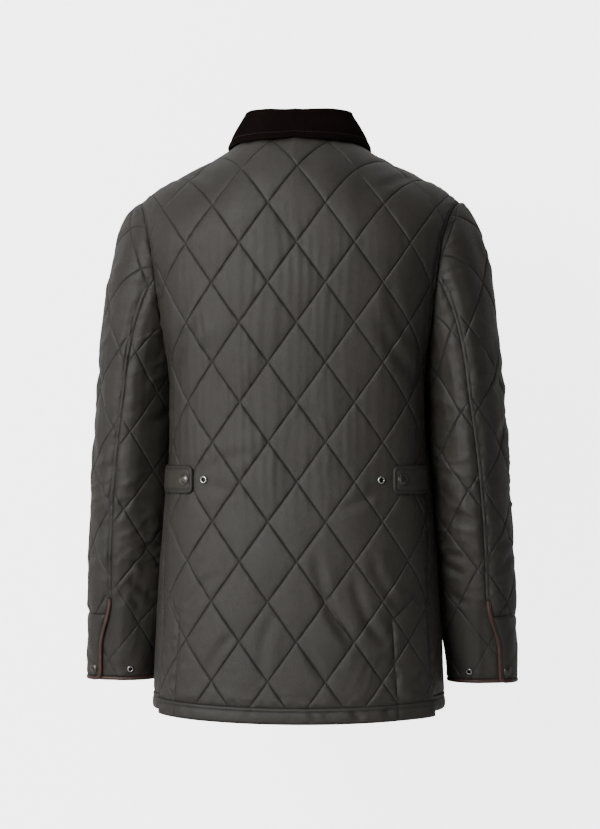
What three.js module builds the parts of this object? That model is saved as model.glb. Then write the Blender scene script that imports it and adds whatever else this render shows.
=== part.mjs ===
// A quilted jacket, filled out as if worn, with no wearer inside. Every piece that a maker cuts and
// sews on is its own mesh: back, fronts, hem bands, two-piece sleeves, cuff bands, leather bindings,
// corduroy collar, waist tabs, front placket and snaps.
// Millimetres, +Z up. The back faces -Y, the front +Y, and the wearer's right arm is on +X.
// The origin is between the shoulder seams at the neck, where the jacket hangs on its wearer.
import * as THREE from "three";

const { clamp, lerp, smoothstep } = THREE.MathUtils;

// Driving dimensions
const FRONT_NECK_HEIGHT = -78;
const HEM = { back: -792, side: -785, frontSide: -780, front: -786, band: 21 };
const NECK = { halfWidth: 75, backDepth: 72 };
const SHOULDER = { rise: 30, riseShare: 0.72, leastReach: 6, tip: 222 };
const ARMHOLE = { bottom: -312, centreY: 5, halfDepth: 62, steps: 16, rearSeam: 8, frontSeam: 13 };
const QUILT = { width: 77.6, height: 107, puff: 4.5, edgeFade: 16, roundness: 0.6 };
const QUILT_START = { u: 4, height: -464.5 };
const WALL = 2.6;
const GAP = 0.3;
const VENT = { top: -634, reach: 60, openLeft: 1.5, openRight: 9, recede: 1.6, sideways: 0.35 };
const CUFF = {
  height: -750, seam: -657, ventTop: -634, overlap: 30, ventCurve: 15, ventBend: 1.4, corner: 12, lift: 2.1,
  frontSeam: 0.86, columns: 18, underColumns: 14, rows: 6, rowCrowding: 1.5,
};
const BINDING = { width: 5.5, thickness: 3.2, proud: 0.5 };
const TAB = { height: -466, end: 138, width: 37, wall: 2.4, corner: 8, lift: 2.1, columns: 10, rows: 2 };
const TAB_RISE = { before: -6, after: 14 };
const SNAP = {
  cap: 7.5, capHeight: 3, post: 5, postHeight: 2.4, cuffCap: 6.8, cuffPost: 4.4,
  overPuff: 1.05, overCuffPuff: 0.5, press: 12, pressReach: 34,
};
const TAB_SNAPS = { cap: 150, post: 121 };
const CUFF_SNAPS = { rise: 17, cap: 28, post: -26 };
const PLACKET = {
  halfWidth: 29, wall: 2.4, top: 20, snaps: 6, firstSnap: 64, lastSnap: 90, lift: 1.9, columns: 6, rows: 20,
};
const COLLAR = {
  stand: 32, standWall: 3, fallWall: 2.6, lift: 6.2, lean: 0.12, foot: 8, inset: 0.5, bulge: 1.5, overPlacket: 2.6,
  columns: 44, leafRows: 4, frontGap: 0.6, sideRise: 4, placketFrom: 1.5, placketTo: 1.85,
};
const BINDING_STEPS = { vent: 8, corner: 5, hem: 12, rows: 2 };
const BAND_COLUMNS = { back: 28, front: 16 };

// How much flatter the padding lies where a piece rests on it, and from where to where that fades.
const PRESSED = {
  bySleeve: { share: 0.65, off: 45, from: 40, to: 90 },
  underTab: { share: 0.6, beyond: 12, from: 18, to: 34 },
  bySocket: { share: 0.85 },
  byCollar: { share: 0.5, from: 55, to: 95 },
  underPlacket: { share: 0.7, from: 12, to: 28 },
  byFrontCollar: { share: 0.6, from: -75, to: -20 },
  upperByBody: { share: 0.6, from: 0.78, to: 0.86 },
  underByBody: { share: 0.7, middle: 0.03, from: 0.1, to: 0.2 },
  atCuff: { from: -42, to: -22, above: 30, fade: 20 },
};

// Where the cuff band lies over the under sleeve's end, and where that end is let in behind it.
const BAND_OVER = { from: 4, to: 34, fade: 18 };
const LET_IN = { from: -14, to: -2, above: 12, fade: 12 };

// Below the vent, a seam keeps only every so many of its points.
const LOW_SEAM_KEEP = { front: 4, rear: 8 };

// The torso's level sections, from the hem up. halfWidth, back and front are measured from the middle.
const TORSO = [
  { height: -790, halfWidth: 202, back: 140, front: 136, pinch: 0 },
  { height: -690, halfWidth: 198, back: 138, front: 136, pinch: 0 },
  { height: -600, halfWidth: 194, back: 135, front: 136, pinch: 0.005 },
  { height: -500, halfWidth: 189, back: 131, front: 136, pinch: 0.02 },
  { height: -400, halfWidth: 186, back: 129, front: 138, pinch: 0.05 },
  { height: -320, halfWidth: 189, back: 132, front: 141, pinch: 0.08 },
  { height: -250, halfWidth: 201, back: 136, front: 140, pinch: 0.06 },
  { height: -170, halfWidth: 213, back: 137, front: 126, pinch: 0.02 },
  { height: -82, halfWidth: 223, back: 132, front: 93, pinch: 0 },
];
const SQUARENESS = 0.045;
const PINCH_REACH = 70;

// The shoulder ridge, out from the neck along both shoulder seams.
const RIDGE = [
  { out: 0, height: 22 },
  { out: 40, height: 15 },
  { out: 75, height: 0 },
  { out: 96, height: -14 },
  { out: 124, height: -30 },
  { out: 160, height: -48 },
  { out: 192, height: -64 },
  { out: 224, height: -85 },
];

// The side seam leaves the underarm and moves round to the back.
const SIDE_SEAM = [
  { height: -790, y: -74 },
  { height: -690, y: -76 },
  { height: -560, y: -62 },
  { height: -461, y: -50 },
  { height: -400, y: -30 },
  { height: -312, y: 5 },
];

// The right sleeve's level sections, from the cuff up, and where its rear seam lies round each.
const SLEEVE = [
  { height: -750, inner: 205, outer: 303, back: 0, front: 82, seam: 0.28 },
  { height: -700, inner: 203, outer: 302, back: -10, front: 83, seam: 0.28 },
  { height: -640, inner: 200, outer: 299.5, back: -24, front: 84, seam: 0.281 },
  { height: -560, inner: 195, outer: 295.5, back: -39, front: 84, seam: 0.285 },
  { height: -480, inner: 189.5, outer: 290.5, back: -50, front: 83, seam: 0.283 },
  { height: -400, inner: 185, outer: 286, back: -58, front: 82, seam: 0.27 },
  { height: -340, inner: 183, outer: 281.5, back: -62, front: 80, seam: 0.255 },
];
const CAP = { start: -340, out: 0.87, down: -0.5, lowOut: 0.35, lowDown: -0.94, leave: 0.9, pull: 0.62 };

// How far the collar's fall reaches over the body, round the neck from the centre back.
const FALL = [
  { share: 0, reach: 10 },
  { share: 0.45, reach: 20 },
  { share: 0.75, reach: 32 },
  { share: 1, reach: 50 },
];
const FALL_ROLL = [
  { out: -3.4, up: 1.7 },
  { out: -2.3, up: 4.5 },
  { out: 0.8, up: 5.7 },
  { out: 3.9, up: 4.2 },
  { out: 5.6, up: -0.5 },
];

// Materials
const cloth = new THREE.MeshStandardMaterial({ color: 0x46433f, roughness: 0.62, metalness: 0 });
const bandCloth = new THREE.MeshStandardMaterial({ color: 0x42403b, roughness: 0.62, metalness: 0 });
const corduroy = new THREE.MeshStandardMaterial({ color: 0x1f1210, roughness: 0.95, metalness: 0 });
const leather = new THREE.MeshStandardMaterial({ color: 0x4a2c22, roughness: 0.6, metalness: 0 });
const snapMetal = new THREE.MeshStandardMaterial({ color: 0x6e6a66, roughness: 0.35, metalness: 0.9 });

const jacket = new THREE.Group();

function addMesh(name, geometry, material) {
  const mesh = new THREE.Mesh(geometry, material);
  mesh.name = name;
  jacket.add(mesh);
  return mesh;
}

// Reads a column of a table on a smooth curve through its rows, which run up the first column.
function read(table, column, at) {
  const key = Object.keys(table[0])[0];
  const last = table.length - 1;
  if (at <= table[0][key]) return table[0][column];
  if (at >= table[last][key]) return table[last][column];
  const i = table.findIndex((row) => row[key] > at) - 1;
  const [before, from, to, after] = [i - 1, i, i + 1, i + 2].map((k) => table[clamp(k, 0, last)]);
  const span = to[key] - from[key];
  const t = (at - from[key]) / span;
  const leave = ((to[column] - before[column]) / (to[key] - before[key])) * span;
  const arrive = ((after[column] - from[column]) / (after[key] - from[key])) * span;
  return hermite(from[column], to[column], leave, arrive, t);
}

function hermite(from, to, leave, arrive, t) {
  const t2 = t * t;
  const t3 = t2 * t;
  const ends = (2 * t3 - 3 * t2 + 1) * from + (3 * t2 - 2 * t3) * to;
  return ends + (t3 - 2 * t2 + t) * leave + (t3 - t2) * arrive;
}

// Distances along a run of points, from 0 at the first.
function distances(points) {
  const along = [0];
  for (let i = 1; i < points.length; i++) {
    const step = Math.hypot(points[i].x - points[i - 1].x, points[i].y - points[i - 1].y);
    along.push(along[i - 1] + step);
  }
  return along;
}

// Where a rising list reaches a value, as a fraction of its steps. It runs on past both ends.
function placeIn(rising, value) {
  let i = rising.findIndex((each) => each > value) - 1;
  if (i < 0) i = value <= rising[0] ? 0 : rising.length - 2;
  return i + (value - rising[i]) / (rising[i + 1] - rising[i]);
}

// Torso

const ROUND_STEPS = 120;
const FROZEN = TORSO[TORSO.length - 1].height;
const levels = new Map();

// One level of the torso, by the angle from the centre back (0) through the side to the centre front (PI).
function sectionPoint(level, angle) {
  const depth = Math.cos(angle) > 0 ? level.back : level.front;
  const across = (Math.sin(angle) + SQUARENESS * Math.sin(3 * angle)) / (1 - SQUARENESS);
  const along = (Math.cos(angle) - SQUARENESS * Math.cos(3 * angle)) / (1 - SQUARENESS);
  const y = -depth * along;
  const squeeze = 1 - level.pinch * Math.exp(-((y / PINCH_REACH) ** 2));
  return { x: level.halfWidth * across * squeeze, y };
}

function levelAt(height) {
  const at = Math.min(height, FROZEN).toFixed(3);
  if (!levels.has(at)) {
    const level = {};
    for (const column of ["halfWidth", "back", "front", "pinch"]) level[column] = read(TORSO, column, Number(at));
    const points = Array.from({ length: ROUND_STEPS + 1 }, (_, k) => sectionPoint(level, (k * Math.PI) / ROUND_STEPS));
    level.round = distances(points);
    level.total = level.round[ROUND_STEPS];
    levels.set(at, level);
  }
  return levels.get(at);
}

// The angle on a level at which its x or y, which only rises or falls between two angles, has a value.
function angleWhere(level, axis, value, low, high) {
  const rises = sectionPoint(level, high)[axis] > sectionPoint(level, low)[axis];
  for (let i = 0; i < 40; i++) {
    const middle = (low + high) / 2;
    if (sectionPoint(level, middle)[axis] < value === rises) low = middle;
    else high = middle;
  }
  return (low + high) / 2;
}

function distanceAt(level, angle) {
  const place = clamp((angle / Math.PI) * ROUND_STEPS, 0, ROUND_STEPS - 1e-9);
  const i = Math.floor(place);
  return lerp(level.round[i], level.round[i + 1], place - i);
}

// The round of the shoulder: a quarter of an ellipse that ends on the ridge.
function riseFor(reach) {
  return SHOULDER.rise + SHOULDER.riseShare * reach;
}

const TURN_STEPS = 32;

function turnDistances(reach, rise) {
  const points = Array.from({ length: TURN_STEPS + 1 }, (_, k) => {
    const turn = (k / TURN_STEPS) * (Math.PI / 2);
    return { x: reach * (1 - Math.cos(turn)), y: rise * Math.sin(turn) };
  });
  return distances(points);
}

function overShoulder(x, y, height) {
  const reach = Math.max(Math.abs(y), SHOULDER.leastReach);
  const rise = riseFor(reach);
  const start = read(RIDGE, "height", Math.abs(x)) - rise;
  if (height <= start) return new THREE.Vector3(x, y, height);
  const turn = (placeIn(turnDistances(reach, rise), height - start) / TURN_STEPS) * (Math.PI / 2);
  return new THREE.Vector3(x, y * Math.cos(turn), start + rise * Math.sin(turn));
}

// How far the vent edges of the back panel stand away from the fronts, by side.
function ventKick(round, height, edge) {
  const open = round > 0 ? VENT.openRight : VENT.openLeft;
  const down = smoothstep(VENT.top - height, 0, VENT.top - HEM.side);
  return open * down * smoothstep(Math.abs(round), edge - VENT.reach, edge);
}

// The torso's surface, by the way round from the centre back and the height up the cloth.
function torsoPoint(round, height) {
  const level = levelAt(height);
  const side = round < 0 ? -1 : 1;
  const angle = (placeIn(level.round, Math.abs(round)) / ROUND_STEPS) * Math.PI;
  const { x, y } = sectionPoint(level, angle);
  return overShoulder(side * x, y, height);
}

// Where a plan point over the shoulder lies on the cloth.
function onShoulder(x, yShare, isBack) {
  const level = levelAt(FROZEN);
  const [from, to] = isBack ? [0, Math.PI / 2] : [Math.PI / 2, Math.PI];
  const angle = angleWhere(level, "x", x, from, to);
  const { y } = sectionPoint(level, angle);
  const reach = Math.max(Math.abs(y), SHOULDER.leastReach);
  const rise = riseFor(reach);
  const place = (Math.acos(clamp(yShare / reach, 0, 1)) / (Math.PI / 2)) * TURN_STEPS;
  const along = turnDistances(reach, rise);
  const i = Math.min(Math.floor(place), TURN_STEPS - 1);
  const distance = lerp(along[i], along[i + 1], place - i);
  return { round: distanceAt(level, angle), height: read(RIDGE, "height", x) - rise + distance };
}

function sideSeam(height) {
  const level = levelAt(height);
  return distanceAt(level, angleWhere(level, "y", read(SIDE_SEAM, "y", height), 0, Math.PI));
}

const shoulderTip = { back: onShoulder(SHOULDER.tip, 0, true), front: onShoulder(SHOULDER.tip, 0, false) };

// The armhole, by the angle down from the shoulder tip.
function armhole(angle, isBack) {
  const tip = isBack ? shoulderTip.back : shoulderTip.front;
  if (angle === 0) return tip;
  const middle = (tip.height + ARMHOLE.bottom) / 2;
  const height = middle + (tip.height - middle) * Math.cos(angle);
  const level = levelAt(height);
  const centre = lerp(torsoY(tip), ARMHOLE.centreY, (1 - Math.cos(angle)) / 2);
  const y = centre + (isBack ? -1 : 1) * ARMHOLE.halfDepth * Math.sin(angle);
  return { round: distanceAt(level, angleWhere(level, "y", y, 0, Math.PI)), height };
}

// The y of the upright wall, before it turns over the shoulder.
function torsoY({ round, height }) {
  const level = levelAt(height);
  return sectionPoint(level, (placeIn(level.round, round) / ROUND_STEPS) * Math.PI).y;
}

function steps(count, make) {
  return Array.from({ length: count + 1 }, (_, k) => make(k / count, k));
}

function shoulderSeam(share, isBack) {
  return onShoulder(lerp(SHOULDER.tip, NECK.halfWidth, share), 0, isBack);
}

// Quilting

// Puff of the padding: none on the stitched lines, most at the middle of each diamond.
function puffAt(u, height, start = QUILT_START) {
  const across = (u - start.u) / QUILT.width;
  const up = (height - start.height) / QUILT.height;
  const swell = Math.abs(Math.sin(Math.PI * (across + up)) * Math.sin(Math.PI * (across - up)));
  return QUILT.puff * swell ** QUILT.roundness;
}

// Cuts a flat polygon with one straight line and keeps the side where distance is positive.
function cutPolygon(polygon, distance) {
  const kept = [];
  polygon.forEach((from, i) => {
    const to = polygon[(i + 1) % polygon.length];
    const [a, b] = [distance(from), distance(to)];
    if (a >= 0) kept.push(from);
    if (a > 0 !== b > 0 && a !== 0 && b !== 0) {
      const t = a / (a - b);
      kept.push({ u: lerp(from.u, to.u, t), v: lerp(from.v, to.v, t) });
    }
  });
  return kept;
}

const ON_LINE = 1e-7;
const SAME_SPOT = 1e-6;

function flatDistance(one, other) {
  return Math.hypot(one.u - other.u, one.v - other.v);
}

// Splits a cut polygon whose parts are only joined by doubled edges into its separate loops.
function simpleLoops(polygon) {
  const spots = [];
  const spotOf = (point) => {
    const found = spots.findIndex((each) => flatDistance(each, point) < SAME_SPOT);
    return found >= 0 ? found : spots.push(point) - 1;
  };
  const ring = polygon.map(spotOf);
  const edges = [];
  ring.forEach((from, i) => {
    const to = ring[(i + 1) % ring.length];
    const [a, b] = [spots[from], spots[to]];
    const span = flatDistance(a, b) + ON_LINE;
    const between = spots
      .map((spot, k) => ({ k, along: flatDistance(spot, a), rest: flatDistance(spot, b) }))
      .filter(({ k, along, rest }) => k !== from && k !== to && along + rest < span)
      .sort((one, other) => one.along - other.along)
      .map(({ k }) => k);
    const stops = [from, ...between, to];
    for (let k = 1; k < stops.length; k++) {
      const back = edges.findIndex(([x, y]) => x === stops[k] && y === stops[k - 1]);
      if (back >= 0) edges.splice(back, 1);
      else if (stops[k] !== stops[k - 1]) edges.push([stops[k - 1], stops[k]]);
    }
  });
  const loops = [];
  while (edges.length) {
    const loop = [edges.shift()];
    while (loop[loop.length - 1][1] !== loop[0][0]) {
      const next = edges.findIndex(([x]) => x === loop[loop.length - 1][1]);
      if (next < 0) break;
      loop.push(...edges.splice(next, 1));
    }
    loops.push(loop.map(([x]) => spots[x]));
  }
  return loops.filter((loop) => loop.length > 2);
}

function insetOutline(outline, by) {
  return outline.map((point, i) => {
    const before = outline[(i + outline.length - 1) % outline.length];
    const after = outline[(i + 1) % outline.length];
    const normals = [[before, point], [point, after]].map(([a, b]) => {
      const length = Math.hypot(b.u - a.u, b.v - a.v);
      return { u: -(b.v - a.v) / length, v: (b.u - a.u) / length };
    });
    const sum = { u: normals[0].u + normals[1].u, v: normals[0].v + normals[1].v };
    const scale = (2 * by) / (sum.u ** 2 + sum.v ** 2);
    return { ...point, u: point.u + sum.u * scale, v: point.v + sum.v * scale };
  });
}

// The nearest place on an outline: which side, how far along it, and how far away.
function nearestSide(outline, point) {
  let best = { distance: Infinity };
  outline.forEach((a, i) => {
    const b = outline[(i + 1) % outline.length];
    const [du, dv] = [b.u - a.u, b.v - a.v];
    const t = clamp(((point.u - a.u) * du + (point.v - a.v) * dv) / (du * du + dv * dv), 0, 1);
    const distance = Math.hypot(a.u + du * t - point.u, a.v + dv * t - point.v);
    if (distance < best.distance) best = { side: i, t, distance };
  });
  return best;
}

const WELD = 1.1;
const NORMAL_REACH = 22;

// A padded wall over a flat outline: diamond tiles half a quilt diamond wide, each raised in the middle.
// surface(u, v) gives the stitched outer surface, puff(u, v) how far the padding stands out of it, and
// an outline point may carry its own place and direction out, to share a seam with its neighbour.
function quiltedWall({ outline, surface, puff, start = QUILT_START, wall = WALL }) {
  const edge = insetOutline(outline, GAP / 2);
  const normalAt = normalOf(surface);
  const vertices = [];
  const keep = (point) => {
    const found = vertices.findIndex((each) => Math.hypot(each.u - point.u, each.v - point.v) < WELD);
    return found >= 0 ? found : vertices.push({ u: point.u, v: point.v, ...nearestSide(edge, point) }) - 1;
  };
  edge.forEach(keep);

  const tiles = tilesOver(edge, start);
  const onEdge = (point) => nearestSide(edge, point).distance < 1e-6;
  tiles.forEach(({ polygon }) => polygon.filter(onEdge).forEach(keep));

  const outer = [];
  const inner = [];
  tiles.forEach(({ polygon, centre }) => {
    const ring = withoutSpikes(polygon.map(keep));
    if (ring.length < 3) return;
    if (centre) {
      const middle = vertices.push({ ...centre, ...nearestSide(edge, centre) }) - 1;
      ring.forEach((index, i) => outer.push([index, ring[(i + 1) % ring.length], middle]));
    }
    const pieces = trianglesIn(ring, vertices);
    inner.push(...pieces);
    if (!centre) outer.push(...pieces);
  });

  const edgePlaces = edge.map(({ u, v, place, normal }) => ({
    place: place ?? surface(u, v),
    normal: normal ?? normalAt(u, v),
  }));
  const sides = vertices.map((vertex) => {
    const rim = vertex.distance < 1e-3;
    if (rim) {
      const from = edgePlaces[vertex.side];
      const to = edgePlaces[(vertex.side + 1) % edge.length];
      const place = from.place.clone().lerp(to.place, vertex.t);
      const normal = from.normal.clone().lerp(to.normal, vertex.t).normalize();
      return { out: place, back: place.clone().addScaledVector(normal, -wall) };
    }
    const place = surface(vertex.u, vertex.v);
    const normal = normalAt(vertex.u, vertex.v);
    const ends = [edge[vertex.side], edge[(vertex.side + 1) % edge.length]];
    if (ends.every((end) => end.normal)) {
      const byRim = 1 - smoothstep(vertex.distance, 0, NORMAL_REACH);
      normal.lerp(ends[0].normal.clone().lerp(ends[1].normal, vertex.t).normalize(), byRim).normalize();
    }
    const fade = smoothstep(vertex.distance, 0, QUILT.edgeFade);
    const height = fade * (puff ? puff(vertex.u, vertex.v) : puffAt(vertex.u, vertex.v, start));
    return { out: place.clone().addScaledVector(normal, height), back: place.addScaledVector(normal, -wall) };
  });
  return closedWall(sides, outer, inner);
}

// Takes out points of a ring that repeat, and corners that only go out and back.
function withoutSpikes(ring) {
  const at = ring.findIndex((index, i) => {
    const before = ring[(i + ring.length - 1) % ring.length];
    const after = ring[(i + 1) % ring.length];
    return index === after || before === after;
  });
  if (at < 0 || ring.length < 3) return ring;
  return withoutSpikes(ring.filter((_, i) => i !== at));
}

// Splits a ring into triangles, best shaped first, and uses every point of it.
function trianglesIn(ring, vertices) {
  if (ring.length === 3) return [ring];
  let best = { score: -Infinity };
  ring.forEach((index, i) => {
    const before = ring[(i + ring.length - 1) % ring.length];
    const after = ring[(i + 1) % ring.length];
    const corner = [before, index, after].map((k) => vertices[k]);
    const blocked = ring.some((k) => ![before, index, after].includes(k) && inside(vertices[k], corner));
    const score = shapeScore(corner) - (blocked ? 10 : 0);
    if (score > best.score) best = { score, i, face: [before, index, after] };
  });
  return [best.face, ...trianglesIn(ring.filter((_, i) => i !== best.i), vertices)];
}

function turn(a, b, c) {
  return (b.u - a.u) * (c.v - a.v) - (b.v - a.v) * (c.u - a.u);
}

function inside(point, [a, b, c]) {
  const edge = -1e-6;
  return turn(a, b, point) > edge && turn(b, c, point) > edge && turn(c, a, point) > edge;
}

// Twice a triangle's area over the square of its longest side: below 0 where it turns the wrong way.
function shapeScore([a, b, c]) {
  const longest = Math.max(...[[a, b], [b, c], [c, a]].map(([p, q]) => (p.u - q.u) ** 2 + (p.v - q.v) ** 2));
  return turn(a, b, c) / longest;
}

// The diamond tiles that cover an outline, cut to it.
function tilesOver(edge, start) {
  const [halfU, halfV] = [QUILT.width / 2, QUILT.height / 2];
  const along = (point) => [
    (point.u - start.u) / halfU + (point.v - start.height) / halfV,
    (point.u - start.u) / halfU - (point.v - start.height) / halfV,
  ];
  const reach = edge.map(along);
  const span = [0, 1].map((k) => [
    Math.floor(Math.min(...reach.map((each) => each[k]))),
    Math.ceil(Math.max(...reach.map((each) => each[k]))),
  ]);
  const tiles = [];
  for (let p = span[0][0]; p < span[0][1]; p++) {
    for (let q = span[1][0]; q < span[1][1]; q++) {
      const sides = [
        (point) => along(point)[0] - p,
        (point) => p + 1 - along(point)[0],
        (point) => along(point)[1] - q,
        (point) => q + 1 - along(point)[1],
      ];
      const polygons = simpleLoops(sides.reduce(cutPolygon, edge));
      const corners = [[p, q], [p + 1, q], [p + 1, q + 1], [p, q + 1]];
      const place = ([a, b]) => ({ u: start.u + ((a + b) / 2) * halfU, v: start.height + ((a - b) / 2) * halfV });
      const diamond = corners.map(place).reverse();
      polygons.forEach((polygon) => {
        const whole = polygon.length === 4 && diamond.every((corner) => nearest(polygon, corner) < 1e-6);
        tiles.push(whole ? { polygon: diamond, centre: place([p + 0.5, q + 0.5]) } : { polygon });
      });
    }
  }
  return tiles;
}

function nearest(points, target) {
  return Math.min(...points.map((each) => Math.hypot(each.u - target.u, each.v - target.v)));
}

function normalOf(surface) {
  const step = 1.5;
  return (u, v) => {
    const across = surface(u + step, v).sub(surface(u - step, v));
    const up = surface(u, v + step).sub(surface(u, v - step));
    return across.cross(up).normalize();
  };
}

// Closes an outer and an inner skin, which share their vertices' order, with a rim along the free edges.
function closedWall(sides, outer, inner) {
  const count = sides.length;
  const used = new Map();
  outer.forEach((face) => {
    face.forEach((from, i) => used.set(`${from} ${face[(i + 1) % 3]}`, [from, face[(i + 1) % 3]]));
  });
  const faces = [...outer, ...inner.map(([a, b, c]) => [a + count, c + count, b + count])];
  used.forEach(([from, to]) => {
    if (used.has(`${to} ${from}`)) return;
    faces.push([to, from, from + count], [to, from + count, to + count]);
  });
  return indexedGeometry([...sides.map((each) => each.out), ...sides.map((each) => each.back)], faces);
}

function indexedGeometry(points, faces) {
  const geometry = new THREE.BufferGeometry();
  const solid = faces.filter(([a, b, c]) => a !== b && b !== c && c !== a);
  geometry.setAttribute("position", new THREE.Float32BufferAttribute(points.flatMap((p) => [p.x, p.y, p.z]), 3));
  geometry.setIndex(solid.flat());
  const plain = geometry.toNonIndexed();
  plain.computeVertexNormals();
  return plain;
}

function mirrored(geometry) {
  const copy = geometry.clone().scale(-1, 1, 1);
  const at = copy.getAttribute("position");
  for (let i = 0; i < at.count; i += 3) {
    const [a, b] = [i + 1, i + 2].map((k) => new THREE.Vector3().fromBufferAttribute(at, k));
    at.setXYZ(i + 1, b.x, b.y, b.z);
    at.setXYZ(i + 2, a.x, a.y, a.z);
  }
  copy.computeVertexNormals();
  return copy;
}

// A plain wall from a grid of points: point(i, j) is the outer face, and lower(i, j) the inner one.
function gridWall(columns, rows, point, lower) {
  const sides = [];
  for (let j = 0; j <= rows; j++) {
    for (let i = 0; i <= columns; i++) sides.push({ out: point(i, j), back: lower(i, j) });
  }
  const faces = [];
  const at = (i, j) => j * (columns + 1) + i;
  for (let j = 0; j < rows; j++) {
    for (let i = 0; i < columns; i++) {
      faces.push([at(i, j), at(i + 1, j), at(i + 1, j + 1)], [at(i, j), at(i + 1, j + 1), at(i, j + 1)]);
    }
  }
  return closedWall(sides, faces, faces);
}

// A wall on a surface, from its corner at (u, v) over a grid of fabric points. lift moves it out.
function wallOn(surface, columns, rows, place, wall, lift = () => 0) {
  const normalAt = normalOf(surface);
  const points = [];
  for (let j = 0; j <= rows; j++) {
    for (let i = 0; i <= columns; i++) {
      const { u, v } = place(i / columns, j / rows);
      const normal = normalAt(u, v);
      const base = surface(u, v).addScaledVector(normal, lift(u, v));
      points.push({ out: base.clone().addScaledVector(normal, wall), base });
    }
  }
  const at = (i, j) => points[j * (columns + 1) + i];
  return gridWall(columns, rows, (i, j) => at(i, j).out, (i, j) => at(i, j).base);
}

// Sleeves. The map goes by the share of the way round (0 underarm, 0.25 back, 0.5 outside, 0.75 front)
// and by the height along the cloth. Below the cap it follows level sections; above, it fans to the armhole.

const CAP_SAMPLES = 96;
const rings = new Map();

function ringAt(height) {
  const at = Math.min(height, CAP.start).toFixed(3);
  if (!rings.has(at)) {
    const size = {};
    for (const column of ["inner", "outer", "back", "front"]) size[column] = read(SLEEVE, column, Number(at));
    const centre = { x: (size.inner + size.outer) / 2, y: (size.back + size.front) / 2 };
    const points = steps(ROUND_STEPS, (t) => ({
      x: centre.x - ((size.outer - size.inner) / 2) * Math.cos(2 * Math.PI * t),
      y: centre.y - ((size.front - size.back) / 2) * Math.sin(2 * Math.PI * t),
    }));
    const round = distances(points);
    rings.set(at, { centre, size, round, total: round[ROUND_STEPS] });
  }
  return rings.get(at);
}

function ringPoint(share, height) {
  const { centre, size, round, total } = ringAt(height);
  const turn = (placeIn(round, (share - Math.floor(share)) * total) / ROUND_STEPS) * 2 * Math.PI;
  const x = centre.x - ((size.outer - size.inner) / 2) * Math.cos(turn);
  return new THREE.Vector3(x, centre.y - ((size.front - size.back) / 2) * Math.sin(turn), height);
}

// The armhole's point that meets a share of the sleeve's round.
function armholeFor(share) {
  const whole = share - Math.floor(share);
  const isBack = whole < 0.5;
  return armhole(Math.PI * Math.abs(1 - 2 * whole), isBack);
}

function capCurve(share) {
  const from = ringPoint(share, CAP.start);
  const below = ringPoint(share, CAP.start - 10);
  const { round, height } = armholeFor(share);
  const to = torsoPoint(round, height);
  const high = (1 - Math.cos(2 * Math.PI * share)) / 2;
  const reach = from.distanceTo(to);
  const leave = from.clone().sub(below).multiplyScalar((reach * CAP.leave) / 10);
  const arrive = new THREE.Vector3(-lerp(CAP.lowOut, CAP.out, high), 0, -lerp(CAP.lowDown, CAP.down, high));
  arrive.normalize().multiplyScalar(reach * CAP.pull);
  return (t) => {
    const at = (axis) => hermite(from[axis], to[axis], leave[axis], arrive[axis], t);
    return new THREE.Vector3(at("x"), at("y"), at("z"));
  };
}

const capLengths = steps(CAP_SAMPLES, (share) => {
  const curve = capCurve(share);
  const points = steps(24, curve);
  return points.slice(1).reduce((sum, point, i) => sum + point.distanceTo(points[i]), 0);
});

function capLength(share) {
  const place = (share - Math.floor(share)) * CAP_SAMPLES;
  const i = Math.min(Math.floor(place), CAP_SAMPLES - 1);
  return lerp(capLengths[i], capLengths[i + 1], place - i);
}

const curves = new Map();

function sleevePoint(share, height) {
  if (height <= CAP.start) return ringPoint(share, height);
  const key = share.toFixed(6);
  if (!curves.has(key)) curves.set(key, capCurve(share));
  return curves.get(key)((height - CAP.start) / capLength(share));
}

function roundAt(height) {
  return ringAt(height).total;
}

// Cloth coordinates of the two parts of the sleeve: u is 0 on the outside for one, at the underarm for the other.
function upperSurface(u, v) {
  return sleevePoint(0.5 + u / roundAt(v), v);
}

function plainUnderSurface(u, v) {
  return sleevePoint(u / roundAt(v), v);
}

function upperPlace(share, v) {
  return { u: (share - 0.5) * roundAt(v), v };
}

function underPlace(share, v) {
  return { u: (share > 0.5 ? share - 1 : share) * roundAt(v), v };
}

// The rim where sleeve and body meet, from the shoulder tip down to the underarm, back or front.
// out halves the two cloths' own directions, and across points from the body's edge to the sleeve's.
function armholeRim(isBack) {
  const bodyNormal = normalOf(torsoPoint);
  const sleeveNormal = normalOf((u, v) => upperSurface(u, v));
  const turns = isBack ? -1 : 1;
  const rim = steps(ARMHOLE.steps, (t) => {
    const { round, height } = armhole(t * Math.PI, isBack);
    const share = 0.5 + (turns * t) / 2;
    const v = CAP.start + capLength(share);
    const point = torsoPoint(round, height);
    const sleeveOut = sleeveNormal(upperPlace(share, v).u, v - 2);
    const out = bodyNormal(round, height).add(sleeveOut).normalize();
    return { point, share, v, round, height, out };
  });
  rim.forEach((each, i) => {
    const next = rim[Math.min(i + 1, rim.length - 1)].point;
    const last = rim[Math.max(i - 1, 0)].point;
    const along = next.clone().sub(last);
    each.across = along.cross(each.out).multiplyScalar(turns).normalize();
  });
  return rim;
}

const rim = { back: armholeRim(true), front: armholeRim(false) };

// A run of the armhole's edge for one piece, with half the seam's gap to its neighbours on every side.
function rimRun(entries, toward) {
  return entries.map((entry, i) => {
    const place = entry.point.clone().addScaledVector(entry.across, (toward * GAP) / 2);
    const neighbour = i === 0 ? entries[1] : i === entries.length - 1 ? entries[i - 1] : null;
    if (neighbour) place.addScaledVector(neighbour.point.clone().sub(entry.point).normalize(), GAP);
    return { ...entry, place, normal: entry.out };
  });
}

// Back and fronts

// Seam points crowd towards the armhole, where the cloths turn.
const SEAM_CROWDING = 2;
const SEAM_STEPS = { side: 12, hem: 16, shoulder: 14, neck: 11, sleeve: 16 };

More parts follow.
